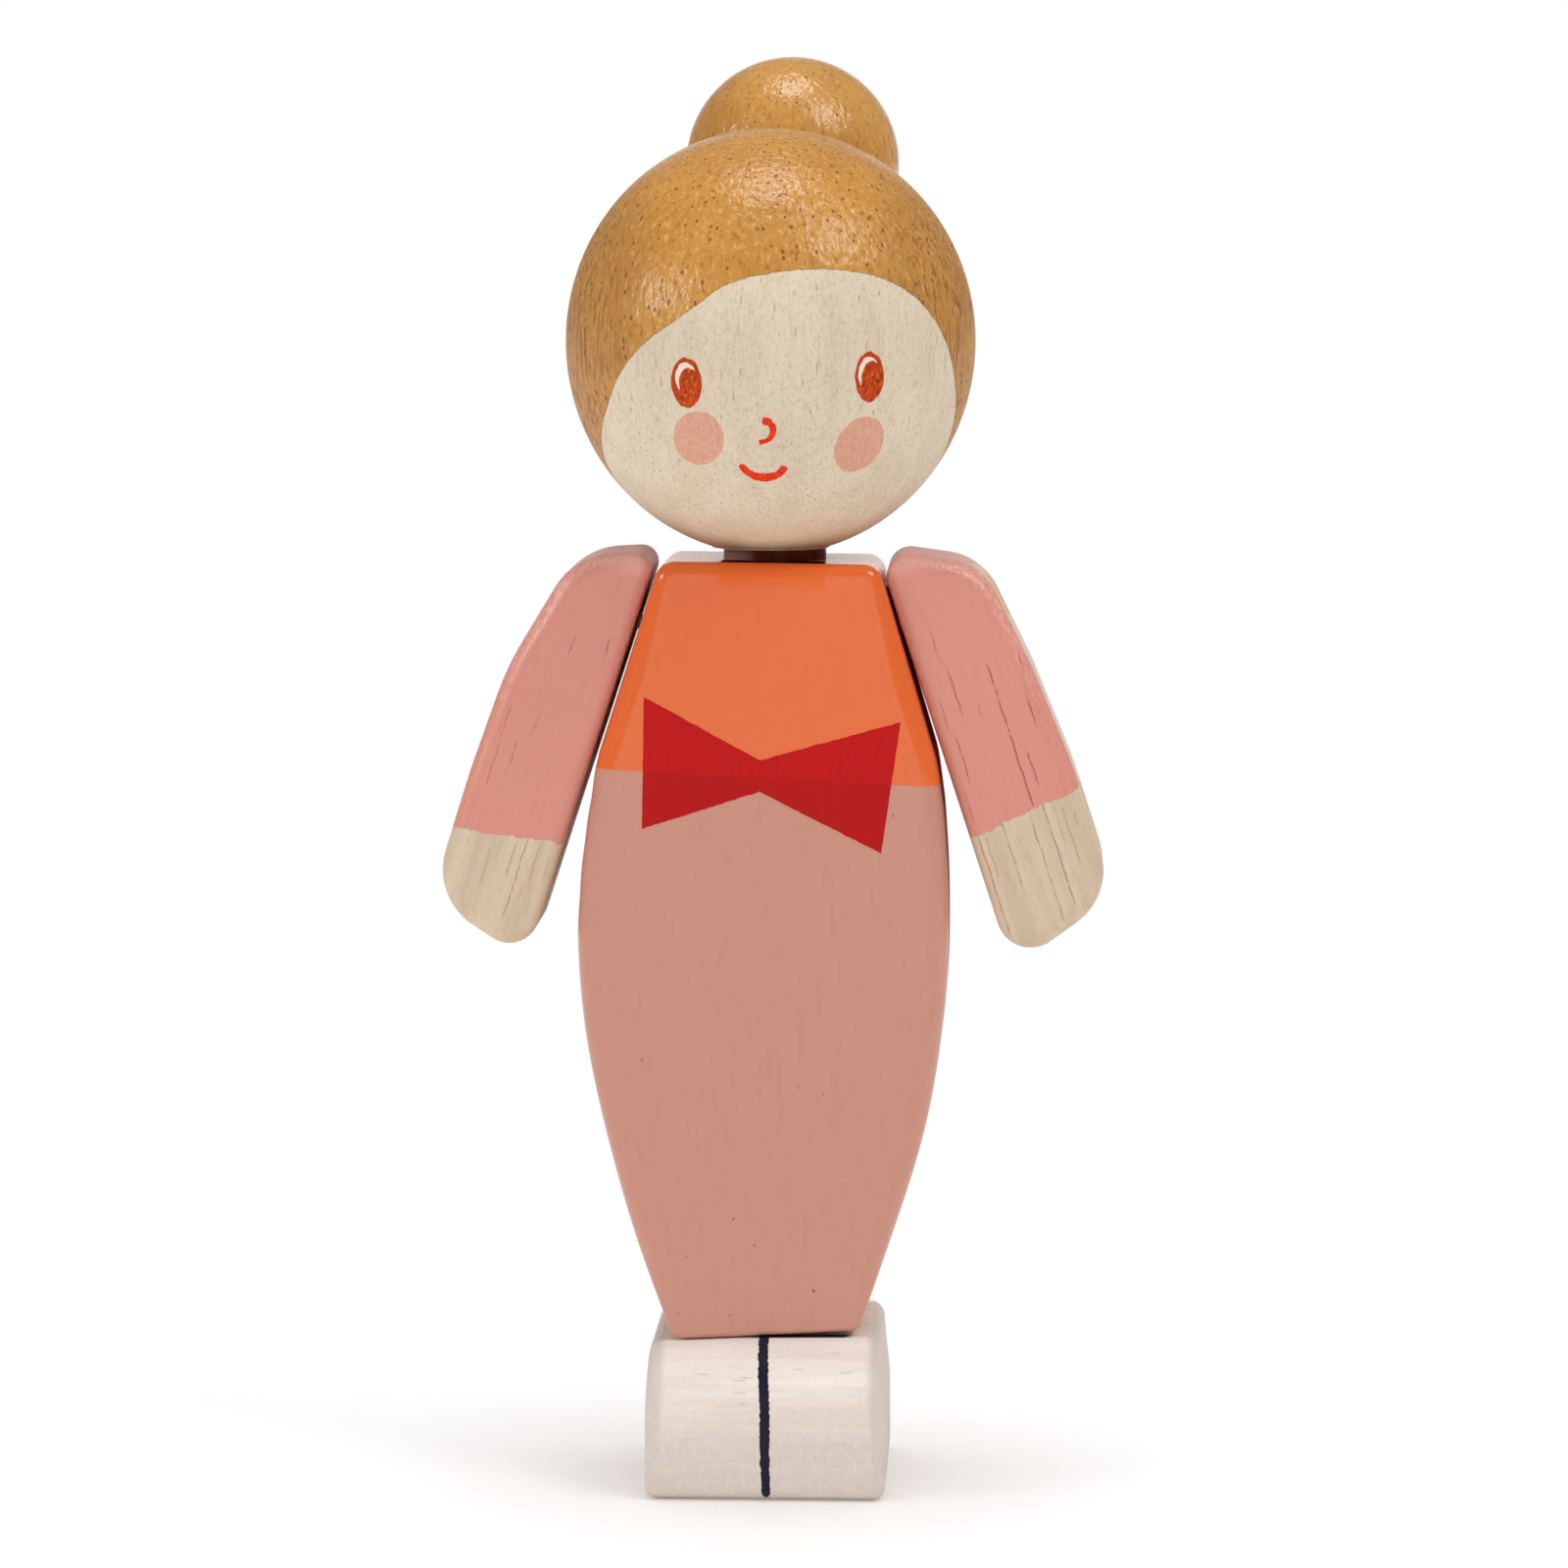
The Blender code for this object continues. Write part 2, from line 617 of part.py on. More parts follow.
def main():
    """Build the doll from the ground up."""
    remove_everything()
    parts = make_collection("wooden_doll")
    cutters = make_collection("cutters")
    build_foot(parts, cutters)
    build_body(parts, cutters)
    build_neck(parts)
    build_head(parts, cutters)
    for side, word in ((1, "left"), (-1, "right")):
        build_arm(side, word, parts, cutters)
    build_elastic(parts, cutters)


main()
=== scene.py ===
"""Looks of the wooden doll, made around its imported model.

The doll faces -Y and stands on Z = 0. Each sub-assembly is a class that builds its meshes and dresses
them, and each finish lays its own nodes. Lengths are metres; inside the materials they are millimetres,
so that grain, pores and paint edges are written at their real size.
"""
from __future__ import annotations

import json
import logging
import math
from dataclasses import dataclass, field, replace
from enum import Enum
from functools import lru_cache
from typing import Callable, Optional, Sequence, Union

import bmesh
import bpy
from mathutils import Matrix, Vector, noise


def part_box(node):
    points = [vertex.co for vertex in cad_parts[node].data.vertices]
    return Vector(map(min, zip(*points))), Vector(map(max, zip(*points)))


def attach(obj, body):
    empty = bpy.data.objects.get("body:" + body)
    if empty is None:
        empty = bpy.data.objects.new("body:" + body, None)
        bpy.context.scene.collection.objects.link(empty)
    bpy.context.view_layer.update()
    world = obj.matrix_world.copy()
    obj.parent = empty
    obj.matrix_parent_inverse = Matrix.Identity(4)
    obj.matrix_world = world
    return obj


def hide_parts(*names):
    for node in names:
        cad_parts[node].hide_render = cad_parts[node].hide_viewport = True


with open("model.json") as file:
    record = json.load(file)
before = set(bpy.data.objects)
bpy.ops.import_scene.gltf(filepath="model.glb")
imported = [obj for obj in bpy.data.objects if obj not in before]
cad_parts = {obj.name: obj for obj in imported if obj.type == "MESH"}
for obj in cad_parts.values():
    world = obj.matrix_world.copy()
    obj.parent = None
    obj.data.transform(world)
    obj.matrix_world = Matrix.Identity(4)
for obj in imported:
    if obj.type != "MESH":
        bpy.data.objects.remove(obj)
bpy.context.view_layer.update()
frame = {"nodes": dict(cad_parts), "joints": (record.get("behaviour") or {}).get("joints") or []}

MM = 0.001
LOG = logging.getLogger("wooden_doll")
BRUSH_SEED = 7

Socket = bpy.types.NodeSocket
Value = Union[float, Socket]
Rgb = tuple[float, float, float, float]
Shade = Union[Rgb, "Tint", Socket]
Plugs = dict[Union[int, str], object]
Pairs = Sequence[tuple[float, float]]
Placed = tuple[Vector, Vector]
Landing = Callable[[float, float], Placed]
Material = bpy.types.Material
Mesh = bpy.types.Mesh
WHITE: Rgb = (1.0, 1.0, 1.0, 1.0)


class Tint(Enum):
    """Paints and woods of the doll, and the painted light and shade put on it, as 8-bit display colours."""

    HAIR = (197, 141, 68)
    # the hair paint's deeper tone in its dents, also laid as painted shade on the sides of the hair and bun
    HAIR_DEEP_AND_SHADE = (146, 88, 34)
    HAIR_GRAIN = (104, 58, 22)
    HAIR_CREST = (222, 174, 104)
    BUN = (199, 145, 74)
    BUN_DEEP = (140, 84, 36)
    FACE_PALE = (221, 206, 185)
    FACE_TONE = (213, 196, 173)
    FACE_STREAK = (176, 156, 116)
    FACE_PORE = (150, 126, 84)
    CHEEK = (210, 134, 108)
    EYE = (190, 66, 12)
    EYE_DARK = (106, 24, 4)
    LIPS = (226, 50, 16)
    LIPS_DARK = (170, 10, 12)
    EYE_CREST = (222, 112, 40)
    EYE_WHITE = (238, 220, 206)
    NECK_SHEEN = (152, 116, 108)
    LIPS_CREST = (244, 96, 44)
    ORANGE = (227, 105, 50)
    ORANGE_DEEP = (217, 93, 42)
    BOW = (190, 12, 10)
    BOW_DEEP = (166, 10, 14)
    BOW_FLECK = (214, 74, 62)
    SKIRT = (198, 139, 121)
    SKIRT_DEEP = (187, 125, 107)
    SLEEVE = (213, 139, 123)
    SLEEVE_DEEP = (200, 122, 106)
    PORE_RED = (138, 66, 56)
    HAND_PALE = (214, 193, 168)
    HAND_TONE = (200, 178, 153)
    HAND_STREAK = (176, 150, 116)
    EDGE_PALE = (226, 205, 192)
    EDGE_TONE = (206, 182, 168)
    EDGE_STREAK = (150, 118, 104)
    # the bare top's wood, made paler as a painted sheen that stands in for the backdrop's reflection seen at
    # a grazing angle
    TOP_PAINTED_SHEEN_PALE = (255, 208, 184)
    TOP_PAINTED_SHEEN_TONE = (250, 192, 170)
    FOOT_PALE = (243, 233, 225)
    FOOT_TONE = (227, 214, 205)
    FOOT_STREAK = (206, 184, 164)
    # dark blue of the shoe line, also laid as a painted shadow under the hem
    FOOT_LINE_AND_HEM_SHADOW = (26, 28, 48)
    # the neck's wood, darkened as painted shade for the shade under the head
    NECK_PAINTED_SHADE_PALE = (104, 46, 22)
    NECK_PAINTED_SHADE_TONE = (80, 31, 12)
    NECK_PAINTED_SHADE_STREAK = (50, 18, 10)
    DOWEL_PALE = (220, 190, 148)
    DOWEL_TONE = (204, 170, 126)
    DOWEL_STREAK = (168, 130, 88)
    # pale pink of paint nibs and wear, also laid as a painted highlight on the arms' edges and a painted
    # sheen on their top ends
    SLEEVE_WORN_AND_SHEEN = (233, 180, 169)
    HAND_GROOVE = (158, 126, 84)
    # painted bounce light from the orange dress under the chin, and its painted reflection along the head's
    # lowest edge
    CHIN_PAINTED_BOUNCE = (214, 168, 130)
    CHIN_PAINTED_REFLECTION = (170, 98, 56)
    # greyer wash low on the block's front, also laid as painted shade near its sides
    FOOT_GREY_AND_SHADE = (209, 196, 187)
    PIT = (120, 78, 66)
    ELASTIC = (232, 229, 220)
    ELASTIC_DEEP = (196, 190, 178)

    @property
    def linear(self) -> Rgb:
        """The colour as linear light with full alpha."""
        def channel(byte: int) -> float:
            share = byte / 255.0
            return share / 12.92 if share <= 0.04045 else ((share + 0.055) / 1.055) ** 2.4

        red, green, blue = self.value
        return channel(red), channel(green), channel(blue), 1.0


class Grain(Enum):
    """Which way the fibres run, as the scale of each axis in the grain's own space."""

    UPRIGHT = (1.0, 1.0, 1.0 / 16.0)
    CROSSWISE = (1.0 / 16.0, 1.0, 1.0)


class Body(Enum):
    """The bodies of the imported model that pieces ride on."""

    TRUNK = "trunk"
    HEAD = "head_with_bun"
    LEFT_ARM = "left_arm_with_plug"
    RIGHT_ARM = "right_arm_with_plug"


class Side(Enum):
    """The doll's own left and right; the value is the sign of X on that side."""

    LEFT = 1
    RIGHT = -1

    @property
    def word(self) -> str:
        """The side in lower case, as the nodes' names have it."""
        return self.name.lower()


@dataclass(frozen=True)
class Layer:
    """One coat of a surface: its colour, its roughness and its height in millimetres."""

    colour: Shade
    roughness: Value
    height: Value


class NodeSheet:
    """Lays out the nodes of one material, or of the room's light."""

    def __init__(self, name: str, space: Optional[Matrix] = None,
                 holder: Optional[bpy.types.World] = None) -> None:
        """Start an empty material.

        Args:
            name: The material's name.
            space: Where the space lies that its patterns are laid out in.
            holder: The world that the nodes are for, where they aren't a material's.
        """
        self.space = (space or Matrix.Identity(4)).inverted()
        self.material = holder or bpy.data.materials.new(name)
        self.material.use_nodes = True
        self.tree = self.material.node_tree
        self.tree.nodes.clear()
        self._place: Optional[Socket] = None

    def add(self, kind: str, plugs: Optional[Plugs] = None, **settings: object) -> bpy.types.Node:
        """Add a node.

        Args:
            kind: The node's type without its ShaderNode prefix.
            plugs: Its inputs by name or place, each a socket to link or a constant to set.
            **settings: Properties to set on the node.

        Returns:
            The new node.
        """
        made = self.tree.nodes.new("ShaderNode" + kind)
        for key, value in settings.items():
            setattr(made, key, value)
        for key, value in (plugs or {}).items():
            if isinstance(value, bpy.types.NodeSocket):
                self.tree.links.new(value, made.inputs[key])
            else:
                made.inputs[key].default_value = value.linear if isinstance(value, Tint) else value
        return made

    def math(self, operation: str, *values: Value) -> Socket:
        """One Math node, from its operation and its inputs in order."""
        return self.add("Math", dict(enumerate(values)), operation=operation).outputs[0]

    def times(self, first: Value, second: Value) -> Socket:
        """The product of two numbers."""
        return self.math("MULTIPLY", first, second)

    def scaled(self, value: Value, factor: Value, offset: Value) -> Socket:
        """A number times a factor, plus an offset."""
        return self.math("MULTIPLY_ADD", value, factor, offset)

    def minus(self, first: Value, second: Value) -> Socket:
        """The first number less the second."""
        return self.math("SUBTRACT", first, second)

    def larger(self, first: Value, second: Value) -> Socket:
        """The larger of two numbers."""
        return self.math("MAXIMUM", first, second)

    def vector(self, operation: str, *values: object) -> bpy.types.Node:
        """One Vector Math node, from its operation and its inputs in order."""
        return self.add("VectorMath", dict(enumerate(values)), operation=operation)

    def place(self) -> Socket:
        """The point on the piece in the material's space, in millimetres."""
        if self._place is None:
            self._place = self.add("Mapping", {
                "Vector": self.add("TexCoord").outputs["Object"],
                "Location": self.space.to_translation() / MM,
                "Rotation": self.space.to_euler(),
                "Scale": (1.0 / MM,) * 3}, vector_type="POINT").outputs[0]
        return self._place

    def axes(self) -> tuple[Socket, Socket, Socket]:
        """The point's three coordinates in millimetres."""
        return tuple(self.add("SeparateXYZ", {0: self.place()}).outputs)

    def stretched(self, scale: Sequence[float], shift: float = 0.0) -> Socket:
        """The point with each axis scaled, and shifted so that each use has its own pattern."""
        squeezed = self.vector("MULTIPLY", self.place(), tuple(scale)).outputs[0]
        return self.vector("ADD", squeezed, (shift, shift, shift)).outputs[0]

    def noise(self, where: Socket, size: float, detail: float = 2.0, rough: float = 0.5,
              swirl: float = 0.0) -> Socket:
        """Soft noise from 0 to 1 in blotches of a size in millimetres, with finer octaves in it."""
        shape = {"Scale": 1.0 / size, "Detail": detail, "Roughness": rough, "Distortion": swirl}
        return self.add("TexNoise", {"Vector": where, **shape}).outputs["Fac"]

    def cells(self, where: Socket, size: float) -> tuple[Socket, Socket]:
        """Points at a spacing: how many spacings the nearest is away, and its own random number."""
        made = self.add("TexVoronoi", {"Vector": where, "Scale": 1.0 / size})
        return made.outputs["Distance"], self.add("SeparateColor", {0: made.outputs["Color"]}).outputs[0]

    def step(self, value: Value, start: float, end: float) -> Socket:
        """A smooth step.

        Args:
            value: What is stepped.
            start: Where the result is 0.
            end: Where the result is 1; it may be less than start.

        Returns:
            The step's socket, from 0 to 1.
        """
        low, high = min(start, end), max(start, end)
        rising = 1.0 if end >= start else 0.0
        plugs = {"Value": value, "From Min": low, "From Max": high, "To Min": 1.0 - rising, "To Max": rising}
        return self.add("MapRange", plugs, interpolation_type="SMOOTHSTEP").outputs["Result"]

    def curve(self, at: Value, points: Pairs, straight: bool = False) -> Socket:
        """A curve over a number.

        Args:
            at: The number, from 0 to 1.
            points: Numbers and the curve's height there, from 0 to 1.
            straight: True if it runs straight from point to point.

        Returns:
            The curve's socket.
        """
        made = self.add("FloatCurve", {"Value": at})
        drawn = made.mapping.curves[0]
        drawn.points[0].location = points[0]
        drawn.points[1].location = points[-1]
        for point in points[1:-1]:
            drawn.points.new(*point)
        for point in drawn.points if straight else ():
            point.handle_type = "VECTOR"
        made.mapping.update()
        return made.outputs[0]

    def mix(self, share: Value, first: Shade, second: Shade) -> Socket:
        """Two colours mixed, with a share of the second."""
        return self.add("Mix", {0: share, 6: first, 7: second}, data_type="RGBA").outputs[2]

    def blend(self, share: Value, first: Value, second: Value) -> Socket:
        """Two numbers mixed, with a share of the second."""
        return self.add("Mix", {0: share, 2: first, 3: second}, data_type="FLOAT").outputs[0]

    def wash(self, colour: Shade, mask: Value, tint: Shade, strength: float = 1.0) -> Socket:
        """A colour with a tint over it where the mask is, as strong as asked."""
        return self.mix(mask if strength == 1.0 else self.times(mask, strength), colour, tint)

    def tinted(self, coat: Layer, mask: Value, tint: Shade, strength: float = 1.0) -> Layer:
        """A coat with a tint over its colour where the mask is, as strong as asked."""
        return replace(coat, colour=self.wash(coat.colour, mask, tint, strength))

    def over(self, mask: Value, top: Layer, under: Layer, build_up: float = 0.0) -> Layer:
        """One coat over another.

        Args:
            mask: Where the top coat is, from 0 to 1.
            top: The coat on top.
            under: The coat below.
            build_up: The top coat's thickness in millimetres, which shows as a step at its edge.

        Returns:
            The two as one coat.
        """
        raised = self.math("ADD", top.height, build_up)
        return Layer(
            self.mix(mask, under.colour, top.colour),
            self.blend(mask, under.roughness, top.roughness),
            self.blend(mask, under.height, raised))

    def finish(self, coat: Layer, specular: Value = 0.5, sheen: float = 0.0) -> Material:
        """Close the material with its shader.

        Args:
            coat: The surface's outermost coat.
            specular: The specular level.
            sheen: The weight of a soft sheen.

        Returns:
            The finished material.
        """
        relief = self.add("Bump", {"Strength": 1.0, "Distance": MM, "Height": coat.height})
        shader = self.add("BsdfPrincipled", {
            "Base Color": coat.colour, "Roughness": coat.roughness, "Specular IOR Level": specular,
            "Sheen Weight": sheen, "Normal": relief.outputs[0]})
        self.add("OutputMaterial", {"Surface": shader.outputs[0]})
        return self.material


@dataclass(frozen=True)
class Wood:
    """Bare or washed wood with bands, fibres and pores along its grain.

    Streaks, pores and stipple say from 0 to 1 how strongly the fibres, the pores and the sanded
    surface's stipple show. The widths of bands and fibres, and their relief, are in millimetres.
    """

    pale: Tint
    tone: Tint
    streak: Tint
    grain: Grain = Grain.UPRIGHT
    band: float = 1.8
    fibre: float = 0.16
    streaks: float = 0.5
    pores: float = 0.5
    stipple: float = 0.3
    relief: float = 0.006
    roughness: float = 0.62

    def lay(self, sheet: NodeSheet) -> Layer:
        """Lay the wood's nodes.

        Args:
            sheet: Their material.

        Returns:
            The wood as a coat.
        """
        along = sheet.stretched(self.grain.value)
        bands = sheet.noise(along, self.band, detail=3.0, rough=0.6, swirl=0.4)
        colour = sheet.mix(sheet.step(bands, 0.32, 0.68), self.pale, self.tone)
        fibres = sheet.noise(along, self.fibre, detail=3.0, rough=0.7)
        fine = sheet.step(fibres, 0.5, 0.74)
        colour = sheet.wash(colour, fine, self.streak, self.streaks)
        colour = sheet.wash(colour, sheet.step(fibres, 0.48, 0.26), self.pale, 0.35 * self.streaks)
        nap = sheet.noise(sheet.stretched((1.0, 1.0, 0.6), shift=5.9), 0.26, detail=3.0, rough=0.7)
        colour = sheet.wash(colour, sheet.step(nap, 0.5, 0.66), self.streak, self.stipple)
        colour = sheet.wash(colour, sheet.step(nap, 0.5, 0.34), self.pale, self.stipple)
        pore = self.pore_mask(sheet)
        colour = sheet.wash(colour, pore, self.streak, self.pores)
        height = sheet.scaled(nap, -0.02 * self.stipple, sheet.times(fibres, self.relief))
        sunk = sheet.times(pore, -2.0 * self.relief * self.pores)
        rough = sheet.blend(fine, self.roughness, self.roughness + 0.1)
        return Layer(colour, rough, sheet.math("ADD", height, sunk))

    def pore_mask(self, sheet: NodeSheet) -> Socket:
        """Short open pores along the grain.

        Args:
            sheet: Their material.

        Returns:
            The mask's socket, 1 in a pore.
        """
        long_way = [axis if axis == 1.0 else 2.2 * axis for axis in self.grain.value]
        far, chance = sheet.cells(sheet.stretched(long_way, shift=7.3), 0.55)
        inside = sheet.step(far, 0.2, 0.1)
        return sheet.times(inside, sheet.step(chance, 0.62, 0.66))


@dataclass(frozen=True)
class Paint:
    """Brushed or dipped paint that lets the wood's grain show through as relief.

    Attributes:
        deep: The darker colour where it lies thick or in a dent.
        crest: The lighter colour on the raised grain, where the paint has thinned.
        shading: How strongly the two colours vary, from 0 to 1.
        relief: The height of the grain that shows through, in millimetres.
        grain_width: The width of that grain in millimetres.
        grain_length: Its length over its width.
        peel: The height of the paint's own ripple in millimetres.
        cloud: The size of its broad colour clouds in millimetres.
    """

    colour: Tint
    deep: Tint
    crest: Optional[Tint] = None
    roughness: float = 0.4
    shading: float = 0.4
    relief: float = 0.006
    grain_width: float = 0.22
    grain_length: float = 6.0
    peel: float = 0.002
    cloud: float = 9.0

    def lay(self, sheet: NodeSheet, grain: Grain = Grain.UPRIGHT) -> Layer:
        """Lay the paint's nodes.

        Args:
            sheet: Their material.
            grain: Which way the wood under it runs.

        Returns:
            The paint as a coat.
        """
        scale = [1.0 if axis == 1.0 else 1.0 / self.grain_length for axis in grain.value]
        along = sheet.stretched(scale, shift=3.1)
        grains = sheet.noise(along, self.grain_width, detail=4.0, rough=0.7)
        swells = sheet.noise(along, 1.5 * self.grain_width, detail=2.0, rough=0.45)
        clouds = sheet.noise(sheet.place(), self.cloud, detail=2.0)
        ripple = sheet.noise(sheet.place(), 0.9, detail=1.0)
        dents = sheet.step(grains, 0.46, 0.35)
        thick = sheet.step(clouds, 0.35, 0.75)
        share = sheet.times(sheet.larger(dents, sheet.times(thick, 0.35)), self.shading)
        colour = sheet.mix(share, self.colour, self.deep)
        if self.crest is not None:
            colour = sheet.wash(colour, sheet.step(grains, 0.54, 0.66), self.crest, self.shading)
        height = sheet.scaled(grains, 0.15, swells)
        height = sheet.times(height, 2.0 * self.relief)
        height = sheet.scaled(ripple, self.peel, height)
        return Layer(colour, self.roughness, height)


@dataclass(frozen=True)
class Specks:
    """Scattered marks in a coat, such as pits in paint or open pores.

    Attributes:
        spacing: The mean distance between possible marks in millimetres.
        radius: A mark's radius in millimetres.
        share: The share of the places that have a mark.
        depth: How deep a mark is in millimetres; below 0 it stands up.
        strength: How strongly its colour shows, from 0 to 1.
        stretch: The scale of each axis, which makes the marks long.
    """

    tint: Tint
    spacing: float
    radius: float
    share: float
    depth: float
    strength: float = 0.8
    stretch: tuple[float, float, float] = (1.0, 1.0, 1.0)

    def scatter(self, sheet: NodeSheet, coat: Layer, where: Value = 1.0) -> Layer:
        """Scatter the marks over a coat.

        Args:
            sheet: Their material.
            coat: The coat that they lie in.
            where: A mask that keeps them to a part of it.

        Returns:
            The marked coat.
        """
        spread = sheet.stretched(self.stretch, shift=11.7 * self.spacing)
        wander = sheet.add("TexNoise", {"Vector": spread, "Scale": 1.0 / (2.0 * self.radius)})
        wobble = sheet.vector("SUBTRACT", wander.outputs["Color"], (0.5, 0.5, 0.5)).outputs[0]
        bent = sheet.vector("MULTIPLY_ADD", wobble, (self.radius,) * 3, spread).outputs[0]
        far, chance = sheet.cells(bent, self.spacing)
        rim = self.radius / self.spacing
        mark = sheet.step(far, rim, 0.55 * rim)
        mark = sheet.times(mark, sheet.step(chance, self.share, self.share - 0.03))
        mark = sheet.times(mark, where)
        marked = sheet.tinted(coat, mark, self.tint, self.strength)
        return replace(marked, height=sheet.scaled(mark, -self.depth, coat.height))


@dataclass(frozen=True)
class Grooves:
    """Long open pores side by side, that show as thin dark lines, broken here and there.

    Attributes:
        lines: Each pore's place across the piece, its upper and lower end along it, in millimetres, and
            how dark it is, from 0 to 1; in order across the piece.
        reach: How far across the piece goes, in millimetres.
        length: More than twice how far a groove may lie from the piece's axis, along it.
    """

    lines: Sequence[tuple[float, float, float, float]]
    reach: float = 11.0
    width: float = 0.11
    length: float = 40.0

    def curve(self, sheet: NodeSheet, at: Value, points: Pairs) -> Socket:
        """A curve of straight stretches over the place across the piece.

        Args:
            sheet: Its material.
            at: The place across.
            points: Places across and the curve's height there, from 0 to 1.

        Returns:
            The curve's socket.
        """
        inside = [(across / self.reach, height) for across, height in points]
        whole = [(0.0, points[0][1]), *inside, (1.0, points[-1][1])]
        return sheet.curve(sheet.times(at, 1.0 / self.reach), whole, straight=True)

    def share(self, along: float) -> float:
        """A place along the piece as a share of the length, 0.5 at its axis."""
        return (self.length / 2.0 + along) / self.length

    def mask(self, sheet: NodeSheet, across: Value, along: Value) -> Socket:
        """Where the grooves lie.

        Args:
            sheet: Their material.
            across: The place across the piece.
            along: The place along it, 0 at its axis and down to minus its length.

        Returns:
            The mask's socket.
        """
        fade = 0.3 / self.length
        wander = sheet.noise(sheet.stretched((0.0, 0.0, 1.0)), 1.6, detail=3.0)
        line = sheet.scaled(wander, 0.36, sheet.minus(across, 0.18))
        spikes = []
        for place, _, _, strength in self.lines:
            spikes += [(place - self.width, 0.0), (place, strength), (place + self.width, 0.0)]
        spike = self.curve(sheet, line, spikes)
        tops = self.curve(sheet, line, [(at, self.share(top)) for at, top, _, _ in self.lines])
        feet = self.curve(sheet, line, [(at, self.share(foot)) for at, _, foot, _ in self.lines])
        share = sheet.scaled(along, 1.0 / self.length, 0.5)
        under = sheet.step(sheet.minus(share, tops), fade, -fade)
        over = sheet.step(sheet.minus(share, feet), -fade, fade)
        broken = sheet.noise(sheet.stretched((0.7, 0.0, 1.0), shift=3.3), 0.9, detail=4.0, rough=0.7)
        whole = sheet.times(sheet.blend(sheet.step(broken, 0.36, 0.5), 0.25, 1.0), spike)
        return sheet.times(whole, sheet.times(under, over))


FACE_WOOD = Wood(
    Tint.FACE_PALE, Tint.FACE_TONE, Tint.FACE_STREAK,
    band=2.6, fibre=0.22, streaks=0.42, pores=0.7, stipple=0.38, relief=0.02)
TOP_WOOD_PAINTED_SHEEN = Wood(
    Tint.TOP_PAINTED_SHEEN_PALE, Tint.TOP_PAINTED_SHEEN_TONE, Tint.EDGE_STREAK,
    band=1.2, fibre=0.18, streaks=0.3, pores=0.8, relief=0.003, roughness=0.16)
HAND_WOOD = Wood(
    Tint.HAND_PALE, Tint.HAND_TONE, Tint.HAND_STREAK,
    band=1.6, fibre=0.2, streaks=0.28, pores=0.4, stipple=0.16, relief=0.012)
EDGE_WOOD = Wood(
    Tint.EDGE_PALE, Tint.EDGE_TONE, Tint.EDGE_STREAK,
    band=1.2, fibre=0.14, streaks=0.35, pores=0.8, relief=0.012)
FOOT_WOOD = Wood(
    Tint.FOOT_PALE, Tint.FOOT_TONE, Tint.FOOT_STREAK, grain=Grain.CROSSWISE,
    band=2.2, fibre=0.24, streaks=0.24, pores=0.6, stipple=0.16, relief=0.01, roughness=0.6)
NECK_WOOD_PAINTED_SHADE = Wood(
    Tint.NECK_PAINTED_SHADE_PALE, Tint.NECK_PAINTED_SHADE_TONE, Tint.NECK_PAINTED_SHADE_STREAK,
    band=1.0, fibre=0.18, streaks=0.6, pores=0.8, relief=0.012, roughness=0.34)
DOWEL_WOOD = Wood(
    Tint.DOWEL_PALE, Tint.DOWEL_TONE, Tint.DOWEL_STREAK,
    band=1.0, fibre=0.16, streaks=0.5, pores=0.7, relief=0.01)
HAIR_PAINT = Paint(
    Tint.HAIR, Tint.HAIR_DEEP_AND_SHADE, Tint.HAIR_CREST, roughness=0.2, shading=0.64, relief=0.085,
    grain_width=0.42, grain_length=2.3, peel=0.03, cloud=7.0)
BUN_PAINT = Paint(
    Tint.BUN, Tint.BUN_DEEP, Tint.HAIR_CREST, roughness=0.2, shading=0.52, relief=0.075,
    grain_width=0.42, grain_length=2.3, peel=0.03, cloud=5.0)
ORANGE_PAINT = Paint(
    Tint.ORANGE, Tint.ORANGE_DEEP, roughness=0.14, shading=0.25, relief=0.003,
    grain_width=0.4, grain_length=8.0, peel=0.006, cloud=14.0)
SKIRT_PAINT = Paint(
    Tint.SKIRT, Tint.SKIRT_DEEP, roughness=0.3, shading=0.26, relief=0.003,
    grain_width=0.55, grain_length=6.0, peel=0.008, cloud=12.0)
SLEEVE_PAINT = Paint(
    Tint.SLEEVE, Tint.SLEEVE_DEEP, roughness=0.34, shading=0.36, relief=0.006,
    grain_width=0.42, grain_length=7.0, peel=0.008, cloud=8.0)
BOW_PAINT = Paint(
    Tint.BOW, Tint.BOW_DEEP, roughness=0.3, shading=0.5, relief=0.006,
    grain_width=0.3, grain_length=5.0, peel=0.01, cloud=6.0)
EYE_PAINT = Paint(
    Tint.EYE, Tint.EYE_DARK, Tint.EYE_CREST, roughness=0.45, shading=0.85, relief=0.01,
    grain_width=0.26, grain_length=1.8, peel=0.002, cloud=1.2)
WHITE_PAINT = Paint(
    Tint.EYE_WHITE, Tint.FACE_PALE, roughness=0.5, shading=0.3, relief=0.006,
    grain_width=0.3, grain_length=3.0)
LIP_PAINT = Paint(
    Tint.LIPS, Tint.LIPS_DARK, Tint.LIPS_CREST, roughness=0.45, shading=0.75, relief=0.008,
    grain_width=0.26, grain_length=1.4, peel=0.002, cloud=1.2)
LINE_PAINT = Paint(
    Tint.FOOT_LINE_AND_HEM_SHADOW, Tint.FOOT_LINE_AND_HEM_SHADOW, roughness=0.45, shading=0.0, relief=0.004,
    grain_width=0.16, grain_length=3.0, peel=0.003)
FACE_PORES = Specks(Tint.FACE_PORE, 0.55, 0.07, 0.4, 0.03, 0.7, stretch=(1.0, 1.0, 0.12))
